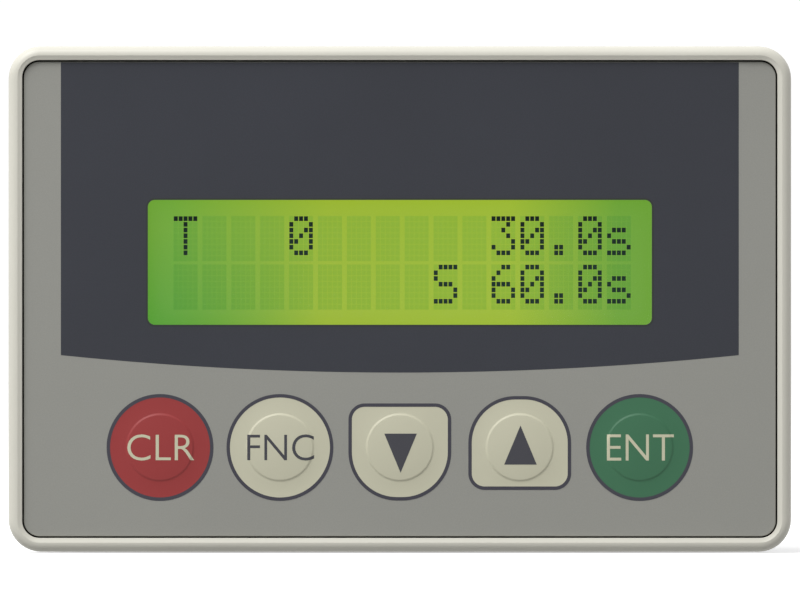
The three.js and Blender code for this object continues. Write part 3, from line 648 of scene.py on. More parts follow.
def place_piece(
    mesh: Mesh, name: str, finish: Finish, body: str | None, replaced: Sequence[str] = ()
) -> Piece:
    """Turns a mesh into a piece of the timer.

    Args:
        mesh: the mesh, which is used up.
        name: the piece's name.
        finish: its finish.
        body: the body it rides on, or None to leave it on no body.
        replaced: the nodes it stands for.

    Returns:
        The piece.
    """
    bmesh.ops.remove_doubles(mesh, verts=mesh.verts, dist=MERGE / 10)
    bmesh.ops.recalc_face_normals(mesh, faces=mesh.faces)
    smooth_shading(mesh)
    data = bpy.data.meshes.new(name)
    mesh.to_mesh(data)
    mesh.free()
    piece = bpy.data.objects.new(name, data)
    bpy.context.scene.collection.objects.link(piece)
    data.materials.append(finish.material())
    if body is not None:
        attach(piece, body)
    if replaced:
        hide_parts(*replaced)
    LOG.info("%s: %d faces", name, len(data.polygons))
    return piece


def paint(node: str, finish: Finish) -> None:
    """Gives a node its finish.

    Args:
        node: the node's name.
        finish: its finish.
    """
    piece = bpy.data.objects[node]
    piece.data.materials.clear()
    piece.data.materials.append(finish.material())
    LOG.info("%s: node in %s", node, finish.value.name)


# ---------------------------------------------------------------- front


@dataclass
class Bezel:
    """The moulded frame: rounded rim, sunk pocket, window and button holes, and the spigot behind."""

    rim_round: float = 1.1 * MM
    rim_flat: float = 0.05 * MM
    rim_slope: float = 0.2 * MM
    rim_width: float = 1.7 * MM
    corner: float = 4.0 * MM
    pocket_corner: float = 2.1 * MM
    pocket_depth: float = 1.0 * MM
    wall: float = 2.0 * MM
    window_margin: float = 0.4 * MM
    spigot_inset: float = 1.9 * MM
    spigot_wall: float = 1.6 * MM
    post: float = 5.4 * MM
    post_hole: float = 1.25 * MM
    steps: int = 7
    box: tuple[Vector, Vector] = field(default_factory=lambda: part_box("bezel"))
    case: tuple[Vector, Vector] = field(default_factory=lambda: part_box("case"))

    @property
    def width(self) -> float:
        """The front's width."""
        return self.box[1].x - self.box[0].x

    @property
    def height(self) -> float:
        """The front's height."""
        return self.box[1].z - self.box[0].z

    @property
    def crest(self) -> float:
        """The depth of the rim's crest."""
        return self.box[0].y

    @property
    def floor(self) -> float:
        """The depth of the pocket's floor."""
        return self.crest + self.pocket_depth

    @property
    def flange(self) -> float:
        """The depth of the flange's rear face."""
        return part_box("panel_gasket")[0].y - 0.02 * MM

    def rim(self) -> list[Ring]:
        """Draws the bezel's section.

        Returns:
            the rings from the flange's rear edge over the rim to the pocket's floor.
        """
        side = Ring.even(self.width, self.height, self.corner, self.flange)
        rings = [side.grown(-0.15 * MM, self.flange), side.grown(0, self.flange - 0.15 * MM)]
        for step in range(self.steps + 1):
            angle = step / self.steps * math.pi / 2
            inward = self.rim_round * (1 - math.cos(angle))
            rings.append(side.grown(-inward, self.crest + self.rim_round * (1 - math.sin(angle))))
        pocket = Ring.even(
            self.width - 2 * self.rim_width,
            self.height - 2 * self.rim_width,
            self.pocket_corner,
            self.floor,
        )
        slope = self.rim_width - self.rim_round - self.rim_flat
        rings.append(pocket.grown(slope, self.crest))
        rings.append(pocket.grown(slope * 0.9, self.crest + 0.03 * MM))
        rings.append(pocket.grown(0.03 * MM, self.crest + self.rim_slope - 0.03 * MM))
        rings.append(pocket.grown(0, self.crest + self.rim_slope + 0.03 * MM))
        rings.append(pocket)
        return rings

    def build(self, window: Ring, keys: Sequence["Key"]) -> None:
        """Builds the bezel.

        Args:
            window: the film's window.
            keys: the keys whose buttons pass through it.
        """
        mesh = bmesh.new()
        flange_edge, pocket = loft(mesh, self.rim(), False, False)
        back = self.floor + self.wall
        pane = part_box("display_window")
        recess = Ring.even(pane[1].x - pane[0].x, pane[1].z - pane[0].z, MM, self.floor, 0, window.z)
        recess = recess.grown(0.1 * MM, self.floor)
        light = window.grown(self.window_margin, back)
        window_rings = [
            recess,
            recess.grown(0, pane[1].y + 0.02 * MM),
            window.grown(self.window_margin, pane[1].y + 0.02 * MM),
            light,
        ]
        recess_front, light_back = loft(mesh, window_rings, False, False)
        wells = [loft(mesh, key.well(self.floor, back), False, False) for key in keys]
        fill(mesh, pocket, recess_front, *[front for front, _ in wells])
        case_size = (self.case[1].x - self.case[0].x, self.case[1].z - self.case[0].z)
        mouth = Ring.even(case_size[0] + 0.2 * MM, case_size[1] + 0.2 * MM, 2 * MM, self.flange)
        mouth_front, mouth_back = loft(mesh, [mouth.grown(0, back), mouth], False, False)
        fill(mesh, flange_edge, mouth_back)
        fill(mesh, mouth_front, light_back, *[rear for _, rear in wells])
        self.build_spigot(mesh, back)
        place_piece(mesh, "bezel_moulding", Finish.BEZEL, HOUSING, ["bezel"])

    def build_spigot(self, mesh: Mesh, wall_rear: float) -> None:
        """Adds the collar and the screw posts behind the wall.

        Args:
            mesh: the bezel's mesh.
            wall_rear: the depth of the wall's rear.
        """
        rear = self.box[1].y
        inside = self.spigot_inset
        width = self.case[1].x - self.case[0].x - 2 * inside
        height = self.case[1].z - self.case[0].z - 2 * inside
        collar = Ring.even(width, height, MM, wall_rear)
        walls = [collar, collar.grown(0, rear), collar.grown(-self.spigot_wall, rear)]
        outer, inner = loft(mesh, [*walls, collar.grown(-self.spigot_wall, wall_rear)], False, False)
        fill(mesh, outer, inner)
        for number in range(1, 5):
            low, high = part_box(f"standoff_{number}")
            post = Ring.round(self.post, wall_rear, (low.x + high.x) / 2, (low.z + high.z) / 2)
            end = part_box("lcd_board")[0].y - 0.02 * MM
            shell = [post, post.grown(0, end - 0.2 * MM), post.grown(-0.2 * MM, end)]
            loft(mesh, [*shell, post.grown(self.post_hole - self.post / 2, end)], True, True)


@dataclass
class Film:
    """The printed film: grey base and charcoal zone, with painted shade lines round the window and in the gap
    to the rim.
    """

    window_width: float = 61.8 * MM
    window_height: float = 15.3 * MM
    window_corner: float = 0.85 * MM
    corner: float = 1.9 * MM
    charcoal_half_width: float = 41.56 * MM
    charcoal_low: float = -9.02 * MM
    charcoal_ends: float = -6.88 * MM
    border: float = 0.22 * MM
    gap: float = 0.19 * MM
    chamfer: float = 0.08 * MM
    layer: float = 0.008 * MM
    box: tuple[Vector, Vector] = field(default_factory=lambda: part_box("overlay"))

    @property
    def front(self) -> float:
        """The depth of the film's front."""
        return self.box[0].y

    def window(self) -> Ring:
        """Draws the window's outline.

        Returns:
            the outline, in the film's front.
        """
        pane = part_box("display_window")
        middle = (pane[0].z + pane[1].z) / 2
        return Ring.even(self.window_width, self.window_height, self.window_corner, self.front, 0, middle)

    def outline(self) -> Ring:
        """Draws the film's own outline.

        Returns:
            the outline, in the film's front.
        """
        width = self.box[1].x - self.box[0].x
        height = self.box[1].z - self.box[0].z
        return Ring.even(width, height, self.corner, self.front)

    def build(self, keys: Sequence["Key"]) -> None:
        """Builds the film.

        Args:
            keys: the keys, which stand in holes of the film.
        """
        rear = self.box[1].y
        mesh = bmesh.new()
        edge = self.outline()
        chamfer = self.chamfer
        outer = [edge.grown(0, rear), edge.grown(0, self.front + chamfer), edge.grown(-chamfer, self.front)]
        outer_rear, outer_front = loft(mesh, outer, False, False)
        holes = [self.window(), *[key.hole(self.front) for key in keys]]
        hole_loops = [loft(mesh, [hole, hole.grown(0, rear)], False, False) for hole in holes]
        fill(mesh, outer_front, *[front for front, _ in hole_loops])
        fill(mesh, outer_rear, *[back for _, back in hole_loops])
        place_piece(mesh, "overlay_film", Finish.FILM, HOUSING, ["overlay"])
        self.build_charcoal()
        # Painted shade: a dark line round the window in place of the shade at the film's cut edge.
        self.build_window_edge_shade()
        # Painted shade: a black ring under the film's edge, grown past it, so that the gap between rim and
        # film shows as a dark shade line.
        mesh = bmesh.new()
        ring = edge.grown(self.gap, rear + 0.004 * MM)
        fill(mesh, draw_ring(mesh, ring), draw_ring(mesh, ring.grown(-2 * MM, ring.y)))
        self.thicken(mesh, -1)
        place_piece(mesh, "film_rim_gap_painted_shade", Finish.RIM_GAP_SHADE, HOUSING)

    def build_charcoal(self) -> None:
        """Builds the charcoal zone, whose lower edge is an arc."""
        top = self.box[1].z - self.chamfer
        mesh = bmesh.new()
        place = Matrix.Translation((0, self.front, (top + self.charcoal_low) / 2)) @ UPRIGHT
        place = place @ Matrix.Diagonal((2 * self.charcoal_half_width, top - self.charcoal_low, 1, 1))
        bmesh.ops.create_grid(mesh, x_segments=48, y_segments=1, size=0.5, matrix=place)
        rise = self.charcoal_ends - self.charcoal_low
        for vert in mesh.verts:
            if vert.co.z < 0:
                vert.co.z = self.charcoal_low + rise * (vert.co.x / self.charcoal_half_width) ** 2
        bmesh.ops.dissolve_faces(mesh, faces=mesh.faces[:])
        outer = list(mesh.edges)
        bmesh.ops.delete(mesh, geom=mesh.faces[:], context="FACES_ONLY")
        fill(mesh, outer, draw_ring(mesh, self.window()))
        self.thicken(mesh, 1)
        place_piece(mesh, "charcoal_print", Finish.CHARCOAL, HOUSING)

    def build_window_edge_shade(self) -> None:
        """Builds the painted shade round the window: a dark line that stands in for the shade at the film's
        cut edge.
        """
        mesh = bmesh.new()
        outer = self.window().grown(self.border, self.front)
        fill(mesh, draw_ring(mesh, outer), draw_ring(mesh, self.window()))
        self.thicken(mesh, 2)
        place_piece(mesh, "window_edge_painted_shade", Finish.WINDOW_EDGE_SHADE, HOUSING)

    def thicken(self, mesh: Mesh, layers: int) -> None:
        """Turns a flat print into a thin layer on the film.

        Args:
            mesh: the flat print.
            layers: how many layers high it stands.
        """
        extruded(mesh, -layers * self.layer)


class Outline(Enum):
    """The outline of a key's printed field."""

    ROUND = "round"
    POINTS_DOWN = "flat above, round below"
    POINTS_UP = "round above, flat below"


@dataclass
class Key:
    """One film key: printed field with its outline, raised spot and legend."""

    name: str
    outline: Outline
    colour: Finish
    legend: str
    legend_finish: Finish
    diameter: float = 13.1 * MM
    half_width: float = 6.3 * MM
    round_side: float = 6.3 * MM
    flat_side: float = 5.2 * MM
    flat_corner: float = 2.0 * MM
    line: float = 0.4 * MM
    spot_top: float = 3.9 * MM
    spot_foot: float = 4.25 * MM
    spot_rise: float = 0.13 * MM
    legend_width: float = 8.2 * MM
    legend_shift: float = 0.09 * MM
    legend_height: float = 3.2 * MM
    reach: float = 2 * MM
    arrow_width: float = 4.0 * MM
    arrow_height: float = 4.8 * MM
    arrow_tip: float = 3.1 * MM
    well_width: float = 9.1 * MM
    well_depth: float = 0.6 * MM
    guide: float = 3.7 * MM
    steps: int = 6
    block_layers: int = 40

    @property
    def pad(self) -> tuple[Vector, Vector]:
        """The box of the key's pad."""
        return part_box("key_pad_" + self.name)

    @property
    def centre(self) -> Vector:
        """The key's middle."""
        return (self.pad[0] + self.pad[1]) / 2

    @property
    def body(self) -> str:
        """The body that the key moves with."""
        return "key_" + self.name

    def hole(self, y: float) -> Ring:
        """Gives the film's hole under the key, at the depth y."""
        return Ring.round(2 * self.spot_foot + 0.1 * MM, y, self.centre.x, self.centre.z)

    def well(self, front: float, back: float) -> list[Ring]:
        """Gives the bezel's hole under the key.

        Args:
            front: the depth of the pocket's floor.
            back: the depth of the wall's rear.

        Returns:
            The rings from front to back.
        """
        x, z = self.centre.x, self.centre.z
        depth = front + self.well_depth
        return [
            Ring.round(self.well_width, front, x, z),
            Ring.round(self.well_width, depth, x, z),
            Ring.round(self.guide, depth, x, z),
            Ring.round(self.guide, back, x, z),
        ]

    def field_ring(self, y: float) -> Ring:
        """Draws the outline of the printed field.

        Args:
            y: the depth of the outline.

        Returns:
            the outline.
        """
        x, z = self.centre.x, self.centre.z
        if self.outline is Outline.ROUND:
            return Ring.round(self.diameter, y, x, z, KEY_SEGMENTS)
        up = 1 if self.outline is Outline.POINTS_UP else -1
        middle = z + up * (self.round_side - self.flat_side) / 2
        tight, wide = self.flat_corner, self.half_width
        radii = (wide, wide, tight, tight) if up > 0 else (tight, tight, wide, wide)
        height = self.round_side + self.flat_side
        return Ring(2 * self.half_width, height, radii, y, x, middle, KEY_SEGMENTS)

    def rise(self, radius: float) -> float:
        """Gives the raised spot's height at a distance from the key's middle.

        Args:
            radius: the distance from the middle.

        Returns:
            The height above the film.
        """
        top = self.spot_rise
        reach = (self.spot_foot - radius) / (self.spot_foot - self.spot_top)
        part = min(max(reach, 0.0), 1.0)
        return top * part * part * (3 - 2 * part)

    def skin(self, film: Film) -> Mesh:
        """Draws the key's face, a sheet from the printed field up to the raised spot.

        Args:
            film: the film that carries it.

        Returns:
            The open sheet.
        """
        face = film.front - film.layer
        mesh = bmesh.new()
        slant = self.spot_top - self.spot_foot
        radii = [self.spot_foot + slant * step / self.steps for step in range(self.steps + 1)]
        x, z = self.centre.x, self.centre.z
        edge = draw_ring(mesh, self.field_ring(face).grown(-self.line, face))
        rings = [Ring.round(2 * radius, face - self.rise(radius), x, z, KEY_SEGMENTS) for radius in radii]
        foot, _ = loft(mesh, rings, False, True)
        fill(mesh, edge, foot)
        return mesh

    def build(self, film: Film) -> None:
        """Builds the key.

        Args:
            film: the film that carries it.
        """
        mesh = self.skin(film)
        film.thicken(mesh, 1)
        face = place_piece(mesh, f"key_face_{self.name}", self.colour, None, ["key_pad_" + self.name])
        self.blended(face)
        self.build_line(film)
        if self.outline is Outline.ROUND:
            self.build_word(film)
        else:
            self.build_arrow(film)

    def blended(self, piece: Piece) -> None:
        """Bakes a piece's placement into its mesh; the piece rides on no body.

        Args:
            piece: the piece.
        """
        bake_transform(piece)

    def build_line(self, film: Film) -> None:
        """Builds the dark line round the key's field.

        Args:
            film: the film that carries it.
        """
        mesh = bmesh.new()
        ring = self.field_ring(film.front)
        fill(mesh, draw_ring(mesh, ring), draw_ring(mesh, ring.grown(-self.line - 0.02 * MM, film.front)))
        film.thicken(mesh, 3)
        place_piece(mesh, f"key_outline_{self.name}", Finish.OUTLINE, HOUSING)

    def build_arrow(self, film: Film) -> None:
        """Builds the arrow on the raised spot.

        Args:
            film: the film that carries the key.
        """
        up = 1 if self.outline is Outline.POINTS_UP else -1
        tip = self.arrow_tip - (0.4 * MM if up > 0 else 0)
        mesh = bmesh.new()
        turn = UPRIGHT
        corners = bmesh.ops.create_circle(mesh, cap_ends=True, segments=3, radius=1.0, matrix=turn)["verts"]
        peak = max(corners, key=lambda corner: corner.co.z)
        for corner in corners:
            side = 0 if corner is peak else math.copysign(self.arrow_width / 2, corner.co.x)
            height = tip if corner is peak else tip - self.arrow_height
            corner.co = Vector((side + self.legend_shift, 0, up * height)) + self.centre
            corner.co.y = film.front - self.spot_rise - 2.5 * film.layer
        film.thicken(mesh, 1)
        self.blended(place_piece(mesh, f"key_arrow_{self.name}", self.legend_finish, None))

    def build_word(self, film: Film) -> None:
        """Builds the legend, draped over the raised spot.

        Args:
            film: the film that carries the key.
        """
        letters = lettering(self.legend, self.legend_width, self.legend_height)
        place = self.centre + Vector((self.legend_shift, self.reach, 0))
        bmesh.ops.translate(letters, verts=letters.verts, vec=place)
        extruded(letters, -2 * self.reach)
        skin = self.skin(film)
        film.thicken(skin, -self.block_layers)
        mesh = combined(skin, letters, "INTERSECT")
        bmesh.ops.recalc_face_normals(mesh, faces=mesh.faces)
        others = [face for face in mesh.faces if face.normal.y > -0.5]
        bmesh.ops.delete(mesh, geom=others, context="FACES")
        film.thicken(mesh, 1)
        lead = 1.5 * film.layer
        bmesh.ops.translate(mesh, verts=mesh.verts, vec=(0, -lead, 0))
        self.blended(place_piece(mesh, f"key_word_{self.name}", self.legend_finish, None))


def combined(base: Mesh, tool: Mesh, operation: str) -> Mesh:
    """Intersects two closed meshes or takes one from the other.

    Args:
        base: the mesh that is worked on, which is used up.
        tool: the other mesh, which is used up.
        operation: INTERSECT or DIFFERENCE.

    Returns:
        The result.
    """
    carriers = []
    for mesh in (base, tool):
        bmesh.ops.remove_doubles(mesh, verts=mesh.verts, dist=MERGE / 10)
        bmesh.ops.recalc_face_normals(mesh, faces=mesh.faces)
        data = bpy.data.meshes.new("shape")
        mesh.to_mesh(data)
        mesh.free()
        carriers.append(bpy.data.objects.new("shape", data))
        bpy.context.scene.collection.objects.link(carriers[-1])
    step = carriers[0].modifiers.new("shape", "BOOLEAN")
    step.operation = operation
    step.object = carriers[1]
    step.solver = "EXACT"
    bpy.context.view_layer.update()
    result = bmesh.new()
    result.from_object(carriers[0], bpy.context.evaluated_depsgraph_get())
    for carrier in carriers:
        data = carrier.data
        bpy.data.objects.remove(carrier)
        bpy.data.meshes.remove(data)
    return result


def lettering(text: str, width: float, height: float) -> Mesh:
    """Makes flat lettering centred on the origin, facing the front.

    Args:
        text: the letters.
        width: the word's width, or 0 for its natural one.
        height: the capitals' height.

    Returns:
        The flat mesh.
    """
    curve = bpy.data.curves.new("lettering", "FONT")
    curve.body = text
    curve.resolution_u = 6
    curve.offset = -0.008
    carrier = bpy.data.objects.new("lettering", curve)
    bpy.context.scene.collection.objects.link(carrier)
    bpy.context.view_layer.update()
    drawn = bpy.data.meshes.new_from_object(carrier.evaluated_get(bpy.context.evaluated_depsgraph_get()))
    mesh = bmesh.new()
    mesh.from_mesh(drawn)
    bpy.data.objects.remove(carrier)
    bpy.data.curves.remove(curve)
    bpy.data.meshes.remove(drawn)
    low = Vector((min(v.co.x for v in mesh.verts), min(v.co.y for v in mesh.verts), 0))
    high = Vector((max(v.co.x for v in mesh.verts), max(v.co.y for v in mesh.verts), 0))
    size = high - low
    width = width or height * size.x / size.y
    stretch = Matrix.Diagonal((width / size.x, height / size.y, 1, 1)) @ Matrix.Translation(-(low + high) / 2)
    bmesh.ops.transform(mesh, matrix=UPRIGHT @ stretch, verts=mesh.verts)
    bmesh.ops.remove_doubles(mesh, verts=mesh.verts, dist=MERGE)
    return mesh


# ---------------------------------------------------------------- display

DOT_ROWS: dict[str, str] = {
    "T": "11111 00100 00100 00100 00100 00100 00100",
    "0": "01110 10001 10011 10101 11001 10001 01110",
    "3": "11111 00010 00100 00010 00001 10001 01110",
    "6": "00110 01000 10000 11110 10001 10001 01110",
    "S": "01111 10000 10000 01110 00001 00001 11110",
    "s": "00000 00000 01110 10000 01110 00001 11110",
    ".": "00000 00000 00000 00000 00000 01100 01100",
}


@dataclass
class Display:
    """The lit cell with its sixteen by two characters."""

    lines: tuple[str, str] = ("T   0      30.0s", "         S 60.0s")
    character_pitch: float = 3.55 * MM
    row_pitch: float = 5.95 * MM
    dot_pitch_x: float = 0.6 * MM
    dot_pitch_z: float = 0.7 * MM
    dot_width: float = 0.55 * MM
    dot_height: float = 0.65 * MM
    dark_share: float = 0.9
    idle_tint: Colour = (0.78, 0.91, 0.87)
    shift: float = 0.29 * MM
    drop: float = 0.05 * MM
    columns: int = 5
    dot_rows: int = 8
    lift: float = 0.02 * MM
    edge: float = 0.2 * MM

    def glow(self, name: str, tint: Colour) -> Material:
        """Makes the lit material.

        Args:
            name: its name.
            tint: what it lets through of the bare cell's light.

        Returns:
            The material.
        """
        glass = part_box("lcd_glass")
        middle = (glass[0].z + glass[1].z) / 2
        cell = LitCell(
            name,
            Finish.DOT.value.slot,
            srgb(158, 187, 52),
            srgb(112, 167, 56),
            srgb(88, 161, 56),
            31 * MM,
            (0, middle),
            tint,
        )
        return cell.material()

    def dots(self, lit: bool) -> list[tuple[float, float]]:
        """Lists the middles of the dots that are dark, or of those that aren't.

        Args:
            lit: whether to list the dark dots.

        Returns:
            The places across and up.
        """
        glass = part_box("lcd_glass")
        middle_z = (glass[0].z + glass[1].z) / 2 - self.drop
        found = []
        for row, line in enumerate(self.lines):
            for column, letter in enumerate(line):
                pattern = DOT_ROWS.get(letter, "").split()
                x = self.shift + (column - (len(line) - 1) / 2) * self.character_pitch
                z = middle_z + (0.5 - row) * self.row_pitch
                found += [
                    (
                        x + (across - (self.columns - 1) / 2) * self.dot_pitch_x,
                        z + ((self.dot_rows - 1) / 2 - down) * self.dot_pitch_z,
                    )
                    for down in range(self.dot_rows)
                    for across in range(self.columns)
                    if (down < len(pattern) and pattern[down][across] == "1") == lit
                ]
        return found

    def build_dots(self, name: str, lit: bool, lift: float) -> Piece:
        """Builds one layer of dots.

        Args:
            name: the piece's name.
            lit: whether these are the dark dots.
            lift: how far they stand before the cell.

        Returns:
            The piece.
        """
        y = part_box("lcd_glass")[0].y - lift
        mesh = bmesh.new()
        for x, z in self.dots(lit):
            share = self.dark_share if lit else 1.0
            size = (self.dot_width * share, self.lift / 2, self.dot_height * share, 1)
            place = Matrix.Translation((x, y, z)) @ Matrix.Diagonal(size)
            bmesh.ops.create_cube(mesh, size=1.0, matrix=place)
        return place_piece(mesh, name, Finish.DOT, HOUSING)

    def build(self) -> None:
        """Builds the display's pieces."""
        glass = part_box("lcd_glass")
        mesh = bmesh.new()
        centre = (glass[0] + glass[1]) / 2
        size = glass[1] - glass[0]
        bmesh.ops.create_cube(mesh, size=1.0, matrix=Matrix.Translation(centre) @ Matrix.Diagonal((*size, 1)))
        bmesh.ops.bevel(
            mesh,
            geom=mesh.edges[:],
            offset=self.edge,
            segments=2,
            profile=0.5,
            affect="EDGES",
            material=-1,
        )
        cell = place_piece(mesh, "display_cell", Finish.DOT, HOUSING, ["lcd_glass"])
        cell.data.materials[0] = self.glow("lit_cell", (1.0, 1.0, 1.0))
        ghosts = self.build_dots("idle_dots", False, self.lift)
        ghosts.data.materials[0] = self.glow("idle_dot_tint", self.idle_tint)
        self.build_dots("dark_dots", True, 2 * self.lift)


# ---------------------------------------------------------------- behind the panel


def body_of(node: str) -> str:
    """Gives the body that a node belongs to."""
    groups = frame["record"]["behaviour"]["bodies"]
    return next(body for body, nodes in groups.items() if node in nodes)


def merged_copy(node: str) -> Mesh:
    """Copies a node's mesh with its doubles merged and its flat faces joined.

    Args:
        node: the node's name.

    Returns:
        The copy.
    """
    mesh = bmesh.new()
    mesh.from_mesh(bpy.data.objects[node].data)
    bmesh.ops.remove_doubles(mesh, verts=mesh.verts, dist=MERGE)
    bmesh.ops.dissolve_limit(mesh, angle_limit=math.radians(1), verts=mesh.verts, edges=mesh.edges)
    return mesh


def soften(piece: Piece, width: float, segments: int = 2, angle: float = 35.0) -> None:
    """Rounds a piece's sharp edges.

    Args:
        piece: the piece.
        width: the width of the rounding.
        segments: its number of steps.
        angle: the angle in degrees above which an edge is rounded.
    """
    step = piece.modifiers.new("edges", "BEVEL")
    step.width = width
    step.segments = segments
    step.limit_method = "ANGLE"
    step.angle_limit = math.radians(angle)
    step.miter_outer = "MITER_ARC"
    step.use_clamp_overlap = True
    step.harden_normals = True


@dataclass(frozen=True)
class Moulding:
    """A piece with the node's shape and softly rounded edges."""

    node: str
    finish: Finish
    edge: float

    def build(self) -> None:
        """Builds the piece in the node's stead."""
        mesh = merged_copy(self.node)
        piece = place_piece(mesh, f"{self.node}_moulding", self.finish, body_of(self.node), [self.node])
        soften(piece, self.edge)


def turned(mesh: Mesh, profile: Sequence[tuple[float, float]], x: float, z: float, steps: int = 48) -> None:
    """Turns a closed piece about an axis along the depth.

    Args:
        mesh: the mesh to build in.
        profile: pairs of radius and depth, from axis to axis.
        x: the axis's place across.
        z: the axis's place up.
        steps: the number of steps round.
    """
    points = [mesh.verts.new((x + radius, y, z)) for radius, y in profile]
    edges = [mesh.edges.new(pair) for pair in zip(points, points[1:])]
    bmesh.ops.spin(
        mesh,
        geom=points + edges,
        cent=(x, 0, z),
        axis=(0, 1, 0),
        angle=2 * math.pi,
        steps=steps,
        use_merge=True,
    )
    bmesh.ops.remove_doubles(mesh, verts=mesh.verts, dist=MERGE)


@dataclass
class Screw:
    """A slotted screw with its thread, turned in the place of its node."""

    node: str
    shank: float
    head: float
    head_height: float
    pitch: float
    slot_width: float
    slot_depth: float
    crown: float
    tip: float = 0.0
    tip_length: float = 0.0
    finish: Finish = Finish.STEEL
    steps: int = 20

    def build(self) -> None:
        """Builds the screw."""
        low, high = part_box(self.node)
        x, z = (low.x + high.x) / 2, (low.z + high.z) / 2
        seat = high.y - self.head_height
        core = self.shank - 0.6 * self.pitch * 0.87
        round_edge = 0.15 * MM
        tip = self.tip or core - 0.6 * MM
        start = low.y + (self.tip_length or 0.5 * MM)
        profile = [
            (0.0, low.y),
            (tip / 2 - round_edge, low.y),
            (tip / 2, low.y + round_edge),
            (tip / 2, start - (0 if self.tip else 0.2 * MM)),
            (core / 2, start),
            (core / 2, seat),
            (self.head / 2 - round_edge, seat),
            (self.head / 2, seat + round_edge),
            (self.head / 2, high.y - self.crown),
            (self.head / 2 - self.crown * 0.3, high.y - self.crown * 0.3),
            (self.head / 2 - self.crown, high.y),
            (0.0, high.y),
        ]
        mesh = bmesh.new()
        turned(mesh, profile, x, z)
        slot = bmesh.new()
        size = (2 * self.head, 2 * self.slot_depth, self.slot_width, 1)
        place = Matrix.Translation((x, high.y, z)) @ Matrix.Diagonal(size)
        bmesh.ops.create_cube(slot, size=1.0, matrix=place)
        mesh = combined(mesh, slot, "DIFFERENCE")
        self.add_thread(mesh, x, z, start + 0.2 * MM, seat - 0.3 * MM)
        piece = place_piece(mesh, f"{self.node}_turned", self.finish, body_of(self.node), [self.node])
        soften(piece, 0.06 * MM, 1, 50)

    def add_thread(self, mesh: Mesh, x: float, z: float, front: float, rear: float) -> None:
        """Winds the thread round the shank.

        Args:
            mesh: the screw's mesh.
            x: the axis's place across.
            z: the axis's place up.
            front: the depth at which the thread starts.
            rear: the depth at which it ends.
        """
        turns = (rear - front) / self.pitch - 1
        core = self.shank / 2 - 0.6 * self.pitch * 0.87 / 2
        half = self.pitch * 0.42
        corners = [(core - 0.05 * MM, -half), (self.shank / 2, -half * 0.15), (self.shank / 2, half * 0.15)]
        corners.append((core - 0.05 * MM, half))
        points = [mesh.verts.new((x + radius, front + half + y, z)) for radius, y in corners]
        start = mesh.faces.new(points)
        bmesh.ops.spin(
            mesh,
            geom=[start],
            cent=(x, 0, z),
            axis=(0, 1, 0),
            dvec=(0, self.pitch / self.steps, 0),
            angle=2 * math.pi * turns,
            steps=round(self.steps * turns),
            use_duplicate=False,
        )


